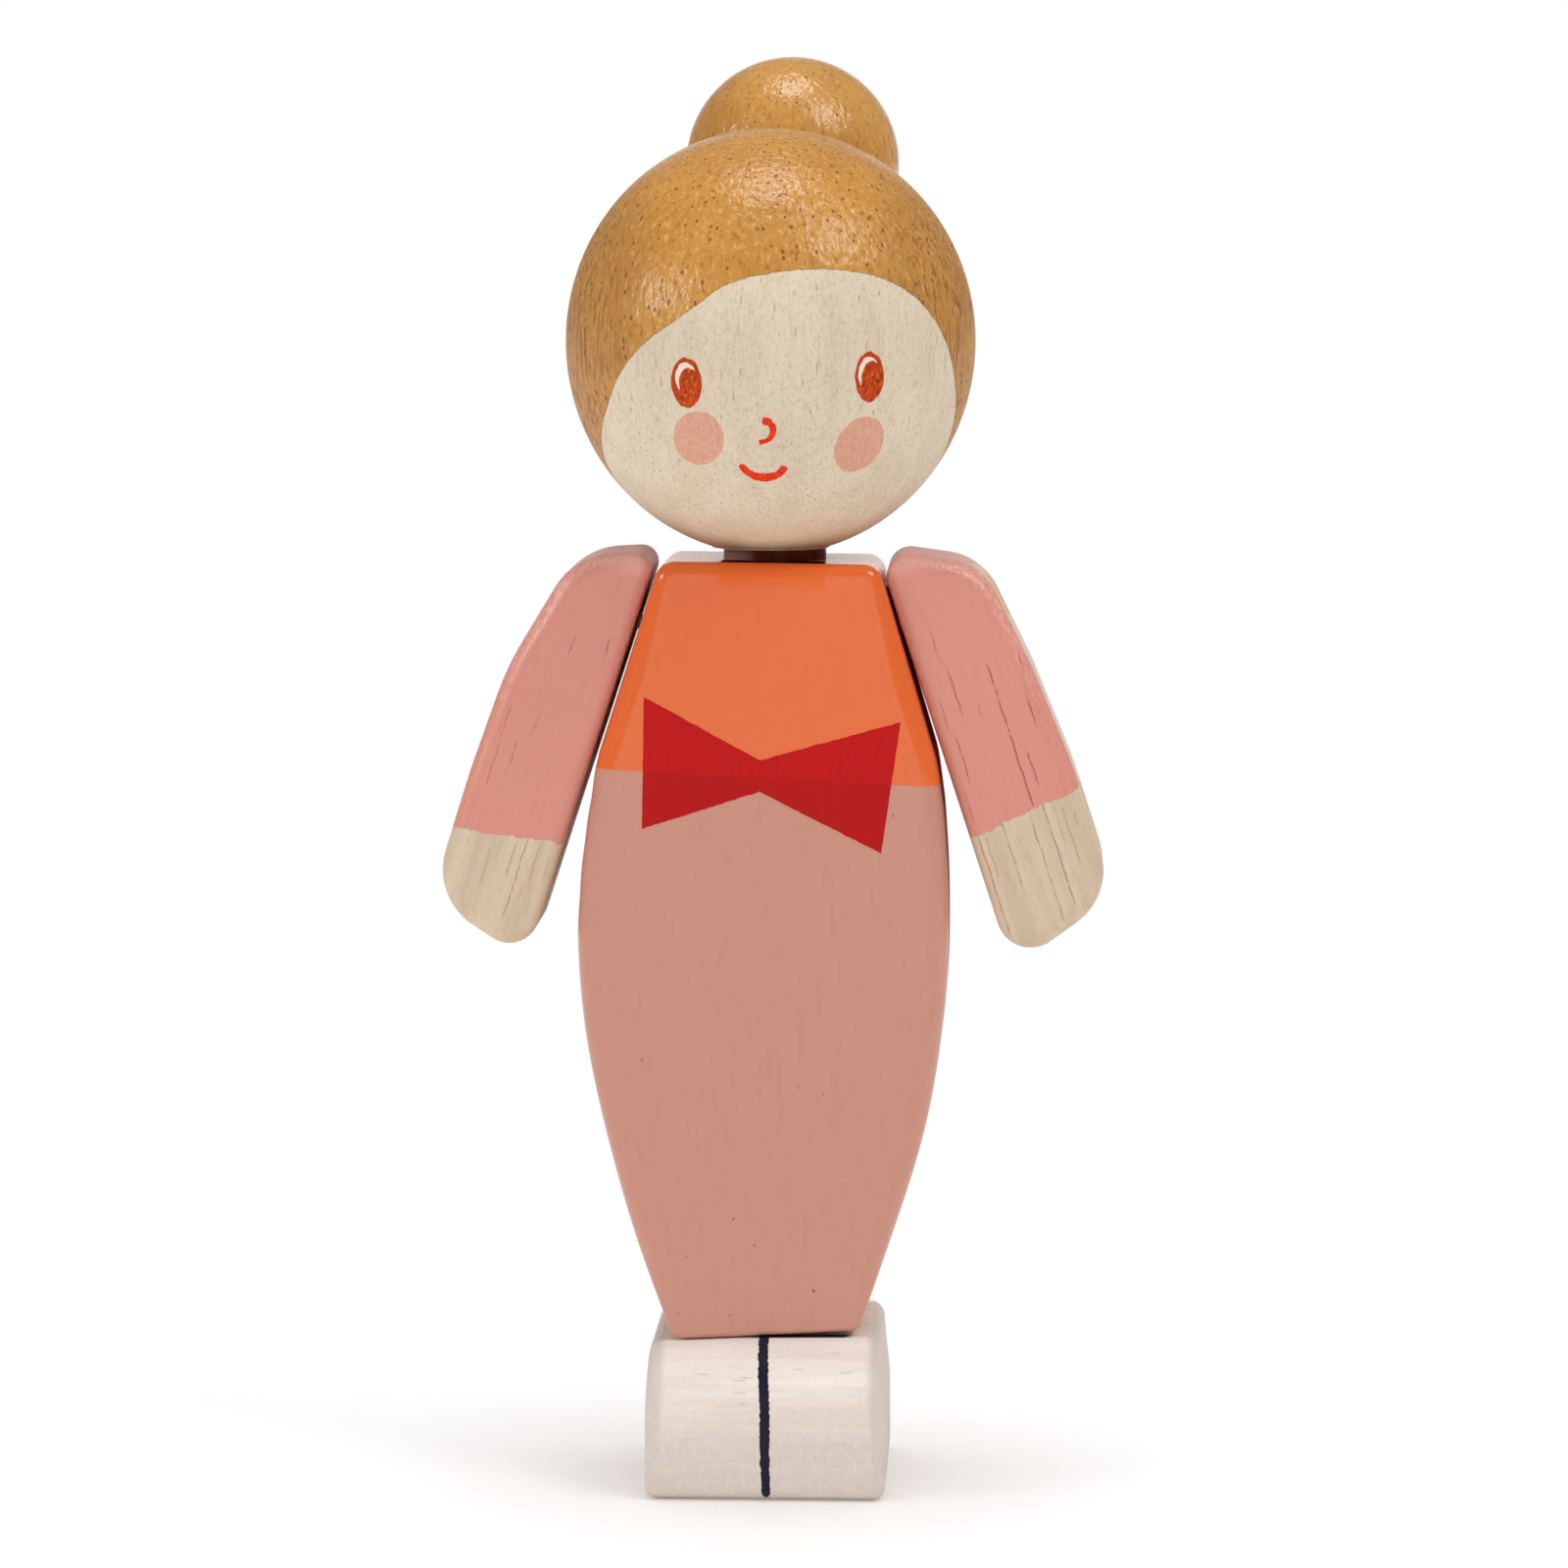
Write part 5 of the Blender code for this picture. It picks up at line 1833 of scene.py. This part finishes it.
@dataclass
class Arm(SubAssembly):
    """One arm: a sanded plank with a pink sleeve and a bare hand, and the plug over its knot.

    Attributes:
        cuff_inner: The sleeve's end on the inner side, along the arm.
        splay: How much further its lower end stands out than the joint's axis asks.
        set_in: How much closer it stands to the dress.
        hand_inset: How far the inner side runs in towards the hand's end.
    """

    body: Body = Body.LEFT_ARM
    side: Side = Side.LEFT
    cuff_inner: float = -18.5 * MM
    cuff_outer: float = -17.3 * MM
    clearance: float = 0.3 * MM
    slant: float = math.radians(17.5)
    splay: float = 0.0
    set_in: float = 0.0
    thickness: float = 12.0 * MM
    above: float = 6.5 * MM
    below: float = 29.65 * MM
    shoulder_width: float = 6.6 * MM
    shoulder_fall: float = 2.35 * MM
    elbow_width: float = 9.22 * MM
    elbow_drop: float = 6.6 * MM
    width: float = 9.58 * MM
    widest_drop: float = 15.6 * MM
    hand_shorter_outside: float = 2.6 * MM
    inner_radius: float = 1.45 * MM
    shoulder_radius: float = 6.2 * MM
    elbow_radius: float = 25.0 * MM
    side_radius: float = 40.0 * MM
    hand_outer_radius: float = 5.6 * MM
    hand_inner_radius: float = 2.65 * MM
    edge_radius: float = 1.8 * MM
    crisp_radius: float = 1.0 * MM
    plug_radius: float = 2.2 * MM
    sleeve_grooves: Grooves = RIGHT_SLEEVE_GROOVES
    hand_grooves: Grooves = RIGHT_HAND_GROOVES
    hand_inset: float = 0.0

    @property
    def place(self) -> Matrix:
        """The arm's own space: on the inner face at its axis, Z up along the arm."""
        joint = next(joint for joint in frame["joints"] if joint["child"] == self.body.value)
        sign = self.side.value
        outward = Vector((sign * math.cos(self.slant), 0.0, math.sin(self.slant)))
        start = Vector(joint["pos_m"]) + outward * (self.clearance - self.set_in)
        return Matrix.Translation(start) @ Matrix.Rotation(-sign * (self.slant + self.splay), 4, "Y")

    def outline(self) -> list[Vector]:
        """The arm in front view, about its axis on its inner face."""
        corners = [
            (Vector((0.0, self.above)), self.inner_radius),
            (Vector((self.shoulder_width, self.above - self.shoulder_fall)), self.shoulder_radius),
            (Vector((self.elbow_width, -self.elbow_drop)), self.elbow_radius),
            (Vector((self.width, -self.widest_drop)), self.side_radius),
            (Vector((self.width, self.hand_shorter_outside - self.below)), self.hand_outer_radius),
            (Vector((self.hand_inset, -self.below)), self.hand_inner_radius),
        ]
        return [Vector((self.side.value * point.x, point.y)) for point in rounded(corners)]

    def build(self) -> None:
        """Make the arm and its plug."""
        word = self.side.word
        plate = RoundedPlate(self.outline(), self.thickness, self.edge, edge_steps=12)
        plank, plug = plate.mesh(stand_front), self.plug_mesh()
        self.add(word + "_arm_plank", plank, self.paint(), "arm_paint", self.place, [word + "_arm"])
        self.add(
            word + "_arm_knot_plug", plug, self.plug_wood(), "plug_wood", self.place, [word + "_arm_plug"])

    def edge(self, point: Vector) -> float:
        """The edge's rounding at a point of the outline: crisper along the inner side."""
        share = clamped((abs(point.x) - 0.8 * MM) / (3.0 * MM))
        full = sanded(self.edge_radius, 0.12)(point)
        return self.crisp_radius + (full - self.crisp_radius) * share

    def outer_side(self, height: float) -> float:
        """How far out the arm's outer side lies at a height."""
        even = even_outline([Vector((abs(point.x), point.y)) for point in self.outline()], 0.2 * MM)
        near = [point for point in even if point.x > 0.5 * self.shoulder_width]
        below = max((point for point in near if point.y <= height), key=lambda point: point.y)
        above = min((point for point in near if point.y > height), key=lambda point: point.y)
        share = (height - below.y) / (above.y - below.y)
        return below.x + (above.x - below.x) * share

    def plug_mesh(self) -> Mesh:
        """The plug's short dowel, sanded flush with the arm's outer side."""
        proud = 0.05 * MM
        root = 5.0 * MM
        rings = [(0.0, proud), (0.5, proud), (0.93, proud), (1.0, -proud), (1.0, -1.0 * MM)]
        steps = 64
        points = []
        for share, rise in rings + [(1.0, 0.0), (0.0, 0.0)]:
            for step in range(steps):
                angle = 2.0 * math.pi * step / steps
                y = self.plug_radius * share * math.cos(angle)
                z = self.plug_radius * share * math.sin(angle)
                points.append(Vector((self.side.value * (self.outer_side(z) + rise), y, z)))
        for point in points[-2 * steps:]:
            point.x = self.side.value * root
        return new_mesh(points, ring_faces(len(rings) + 2, steps))

    def plug_wood(self) -> Material:
        """Bare end grain of the plug."""
        sheet = NodeSheet(self.side.word + "_plug_end_grain", self.place)
        return sheet.finish(DOWEL_WOOD.lay(sheet))

    def cuff(self, sheet: NodeSheet) -> Socket:
        """How far a point lies over the sleeve's end, in millimetres.

        Args:
            sheet: The material that asks.

        Returns:
            The distance's socket.
        """
        x, _, z = sheet.axes()
        rise = (self.cuff_outer - self.cuff_inner) / self.width * self.side.value
        wave = sheet.noise(sheet.stretched((1.0, 0.4, 0.0)), 2.4, detail=3.0, rough=0.6)
        bleed = sheet.noise(sheet.stretched((1.0, 1.0, 0.1)), 0.3, detail=2.0)
        line = sheet.scaled(x, rise, self.cuff_inner / MM)
        line = sheet.scaled(wave, 1.3, sheet.minus(line, 0.65))
        line = sheet.scaled(bleed, 0.5, sheet.minus(line, 0.25))
        return sheet.minus(z, line)

    def paint(self) -> Material:
        """Pink sleeve over bare wood, with grooves of open pores through both, wear flecks and a painted
        highlight along the edges, and a painted sheen on the top end.
        """
        sheet = NodeSheet(self.side.word + "_sleeve_and_hand", self.place)
        x, y, z = sheet.axes()
        hand = HAND_PORES.scatter(sheet, HAND_WOOD.lay(sheet))
        rim = sheet.tinted(hand, 0.6, Tint.EDGE_PALE)
        behind = sheet.step(y, -0.5, 0.5)
        sleeve = BACK_PORES.scatter(sheet, SLEEVE_PAINT.lay(sheet), where=behind)
        out = sheet.math("ABSOLUTE", y)
        half = self.thickness / 2.0 / MM
        edge = sheet.step(out, half - 0.05, half - 0.35)
        scuffs = sheet.noise(sheet.stretched((1.0, 1.0, 0.35), shift=8.8), 0.24, detail=3.0, rough=0.7)
        # wear and painted highlight: paler flecks along the rounded front edges, stronger towards the
        # shoulder, partly wear and partly a painted highlight
        worn_and_highlit = sheet.times(
            sheet.step(scuffs, 0.42, 0.64), sheet.blend(sheet.step(z, -14.0, 2.0), 0.2, 0.8))
        sleeve = sheet.tinted(sleeve, sheet.times(worn_and_highlit, edge), Tint.SLEEVE_WORN_AND_SHEEN)
        sleeve = replace(sleeve, height=sheet.scaled(sheet.times(scuffs, edge), 0.05, sleeve.height))
        upper = sheet.times(edge, sheet.blend(sheet.step(z, -3.0, 4.0), 0.3, 1.0))
        sleeve = SLEEVE_DASHES.scatter(sheet, sleeve, where=upper)
        ragged = sheet.noise(sheet.stretched((1.0, 1.0, 0.4)), 0.8, detail=4.0, rough=0.65)
        limit = sheet.scaled(ragged, 1.2, half - 2.4)
        limit = sheet.scaled(sheet.step(z, 2.0, 4.5), -8.0, limit)
        covered = sheet.minus(out, limit)
        painted = sheet.step(covered, -0.35, 0.25)
        # painted sheen: the top end is paler, with its gloss lowered, to stand in for the light on it
        end = sheet.step(z, 3.4, 5.0)
        sleeve = sheet.tinted(sleeve, end, Tint.SLEEVE_WORN_AND_SHEEN, 0.5)
        rim = sheet.tinted(rim, sheet.step(covered, -2.2, -0.2), Tint.SLEEVE, 0.45)
        arm = sheet.over(painted, sleeve, rim, build_up=0.01)
        mask = sheet.step(self.cuff(sheet), -0.05, 0.05)
        coat = sheet.over(mask, arm, hand, build_up=0.015)
        across = sheet.times(x, float(self.side.value))
        cut = sheet.times(self.sleeve_grooves.mask(sheet, across, z), sheet.times(mask, painted))
        cut = sheet.larger(cut, sheet.times(
            self.hand_grooves.mask(sheet, across, z), sheet.minus(1.0, mask)))
        cut = sheet.times(cut, sheet.step(behind, 0.9, 0.1))
        tone = sheet.mix(mask, Tint.HAND_GROOVE, Tint.PORE_RED)
        sunk = sheet.scaled(cut, -0.018, coat.height)
        coat = replace(coat, colour=sheet.mix(cut, coat.colour, tone), height=sunk)
        return sheet.finish(coat, specular=sheet.blend(end, 0.5, 0.06))


@dataclass
class Elastic(SubAssembly):
    """The elastic that holds both arms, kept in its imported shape."""

    body: Body = Body.TRUNK

    def build(self) -> None:
        """Dress the elastic in fine white thread."""
        sheet = NodeSheet("elastic_thread")
        x, _, z = sheet.axes()
        lay = sheet.math("SINE", sheet.times(sheet.math("ADD", x, z), 12.0))
        fuzz = sheet.noise(sheet.place(), 0.1, detail=3.0)
        share = sheet.scaled(lay, 0.3, fuzz)
        colour = sheet.mix(sheet.step(share, 0.2, 0.9), Tint.ELASTIC_DEEP, Tint.ELASTIC)
        height = sheet.times(share, 0.03)
        self.dress("arm_elastic", sheet.finish(Layer(colour, 0.8, height), specular=0.3, sheen=0.3))


@dataclass(frozen=True)
class Softbox:
    """A square soft light that looks at the doll.

    Attributes:
        azimuth: Where it stands, in degrees from the front towards +X.
        elevation: How high it stands, in degrees.
        level: How much it adds to a surface that faces it, where 1 shows a colour as it is written.
    """

    name: str
    azimuth: float
    elevation: float
    reach: float
    size: float
    level: float

    def build(self, target: Vector) -> None:
        """Set the light up.

        Args:
            target: The point that it looks at.
        """
        turn, rise = math.radians(self.azimuth), math.radians(self.elevation)
        way = Vector((
            math.sin(turn) * math.cos(rise), -math.cos(turn) * math.cos(rise), math.sin(rise)))
        light = bpy.data.lights.new(self.name, "AREA")
        light.shape = "SQUARE"
        light.size = self.size
        light.energy = self.level * (math.pi * self.reach) ** 2
        lamp = placed(self.name, light)
        lamp.location = target + way * self.reach
        lamp.rotation_euler = (-way).to_track_quat("-Z", "Y").to_euler()


@dataclass
class Studio:
    """A white floor, a pale room, soft lights and the camera.

    Attributes:
        lens: The camera's focal length in millimetres of a 36 mm wide sensor.
        azimuth: Where the camera stands, in radians from the front towards +X.
        aside: How far its line of sight passes from the doll's axis.
        all_round: The room's light from all sides, where 1 is white.
        from_front: What the front adds to it.
        from_behind: What the backdrop adds to it.
        mirrored_room: How much of the room's light shows in glossy paint.
        floor_glow: How much of the floor's white doesn't depend on the lights.
        shadow_reach: How far the soft shadow round the foot reaches.
        floor_lit: The floor's colour, as it lights the doll.
        floor_shown: What the camera sees of it under the lights.
    """

    lens: float = 135.83
    azimuth: float = math.radians(2.3)
    pitch: float = 0.1096
    reach: float = 494.0 * MM
    height: float = 113.3 * MM
    aside: float = 1.15 * MM
    all_round: float = 0.38
    from_front: float = 0.06
    from_behind: float = 0.36
    mirrored_room: float = 0.3
    floor_glow: float = 0.62
    shadow_reach: float = 42.0 * MM
    shadow_tint: Rgb = (0.5, 0.37, 0.29, 1.0)
    floor_lit: Rgb = (0.95, 0.93, 0.9, 1.0)
    floor_shown: Rgb = (0.39, 0.39, 0.39, 1.0)
    softboxes: Sequence[Softbox] = (
        Softbox("softbox_right", 60.0, 52.0, 1.5, 0.55, 0.34),
        Softbox("softbox_left", -66.0, 22.0, 1.5, 0.38, 0.25),
        Softbox("softbox_front", 4.0, 3.0, 1.7, 1.3, 0.15),
        Softbox("softbox_above", 8.0, 92.0, 1.5, 0.62, 0.42),
    )

    def build(self) -> None:
        """Set up the camera, the lights, the room and the floor."""
        self.add_camera()
        for softbox in self.softboxes:
            softbox.build(Vector((0.0, 0.0, 60.0 * MM)))
        self.add_room()
        self.add_floor()
        bpy.context.scene.view_settings.view_transform = "Standard"

    def add_camera(self) -> None:
        """The camera at the photograph's angle."""
        data = bpy.data.cameras.new("portrait_camera")
        data.lens = self.lens
        data.sensor_width = 36.0
        data.clip_start, data.clip_end = 0.01, 20.0
        camera = placed("portrait_camera", data)
        camera.location = (
            math.sin(self.azimuth) * self.reach + self.aside, -math.cos(self.azimuth) * self.reach,
            self.height)
        look = Vector((
            -math.sin(self.azimuth) * math.cos(self.pitch),
            math.cos(self.azimuth) * math.cos(self.pitch), -math.sin(self.pitch)))
        camera.rotation_euler = look.to_track_quat("-Z", "Y").to_euler()
        bpy.context.scene.camera = camera

    def add_room(self) -> None:
        """A room that lights the doll softly and shows as plain white."""
        world = bpy.data.worlds.new("pale_room")
        bpy.context.scene.world = world
        sheet = NodeSheet("pale_room", holder=world)
        back = sheet.add("SeparateXYZ", {0: sheet.add("TexCoord").outputs["Generated"]}).outputs[1]
        light = sheet.scaled(sheet.step(back, -0.2, -1.0), self.from_front, self.all_round)
        light = sheet.scaled(sheet.step(back, 0.1, 0.9), self.from_behind, light)
        path = sheet.add("LightPath").outputs
        glossy = path["Is Glossy Ray"]
        light = sheet.times(light, sheet.blend(glossy, 1.0, self.mirrored_room))
        dim = sheet.add("Background", {"Color": WHITE, "Strength": light}).outputs[0]
        white = sheet.add("Background", {"Color": WHITE, "Strength": 1.0}).outputs[0]
        seen = sheet.larger(path["Is Camera Ray"], path["Is Transmission Ray"])
        mirrored = sheet.times(sheet.times(sheet.step(back, 0.9, 0.98), 0.8), glossy)
        mixed = sheet.add("MixShader", {0: sheet.larger(seen, mirrored), 1: dim, 2: white})
        sheet.add("OutputWorld", {"Surface": mixed.outputs[0]})

    def add_floor(self) -> None:
        """A white floor that keeps the doll's soft shadow."""
        shape = bmesh.new()
        bmesh.ops.create_circle(shape, cap_ends=True, segments=128, radius=6.0)
        mesh = bpy.data.meshes.new("floor")
        shape.to_mesh(mesh)
        shape.free()
        floor = placed("floor", mesh)
        floor.location.z = -0.02 * MM
        sheet = NodeSheet("white_floor")
        matt = sheet.add("BsdfDiffuse", {"Color": self.floor_lit}).outputs[0]
        shown = sheet.add("BsdfDiffuse", {"Color": self.floor_shown}).outputs[0]
        open_sky = sheet.add("AmbientOcclusion", {"Distance": self.shadow_reach}).outputs["AO"]
        tint = sheet.mix(open_sky, self.shadow_tint, WHITE)
        glow = sheet.add("Emission", {"Color": tint, "Strength": self.floor_glow}).outputs[0]
        near = sheet.add("AddShader", {0: shown, 1: glow}).outputs[0]
        white = sheet.add("Emission", {"Strength": 1.0}).outputs[0]
        far = sheet.step(sheet.vector("LENGTH", sheet.place()).outputs["Value"], 45.0, 110.0)
        plain = sheet.add("MixShader", {0: far, 1: near, 2: white}).outputs[0]
        path = sheet.add("LightPath").outputs
        eye = sheet.larger(path["Is Camera Ray"], path["Is Transmission Ray"])
        eye = sheet.larger(eye, path["Is Glossy Ray"])
        mixed = sheet.add("MixShader", {0: eye, 1: matt, 2: plain})
        sheet.add("OutputMaterial", {"Surface": mixed.outputs[0]})
        mesh.materials.append(sheet.material)


def main() -> None:
    """Build the studio and the doll from the ground up, the paint's ragged edges alike each time."""
    noise.seed_set(BRUSH_SEED)
    logging.basicConfig(level=logging.INFO, format="%(name)s: %(message)s")
    Studio().build()
    assemblies = [
        FootBlock(),
        Dress(),
        Head(),
        Arm(
            body=Body.LEFT_ARM, side=Side.LEFT, cuff_inner=-18.6 * MM, cuff_outer=-17.2 * MM,
            splay=math.radians(0.6), set_in=0.06 * MM, above=6.75 * MM, below=30.2 * MM,
            shoulder_width=7.95 * MM, shoulder_fall=3.8 * MM, shoulder_radius=5.4 * MM,
            elbow_width=9.3 * MM, width=9.98 * MM, hand_shorter_outside=3.35 * MM,
            hand_outer_radius=5.4 * MM, hand_inner_radius=2.95 * MM, inner_radius=1.9 * MM,
            sleeve_grooves=LEFT_SLEEVE_GROOVES, hand_grooves=LEFT_HAND_GROOVES),
        Arm(
            body=Body.RIGHT_ARM, side=Side.RIGHT, cuff_inner=-19.0 * MM, cuff_outer=-20.7 * MM,
            set_in=0.05 * MM, hand_inset=0.38 * MM),
        Elastic(),
    ]
    for assembly in assemblies:
        assembly.build()
        LOG.info("%s has %d new pieces", type(assembly).__name__, len(assembly.pieces))


if __name__ == "__main__":
    main()
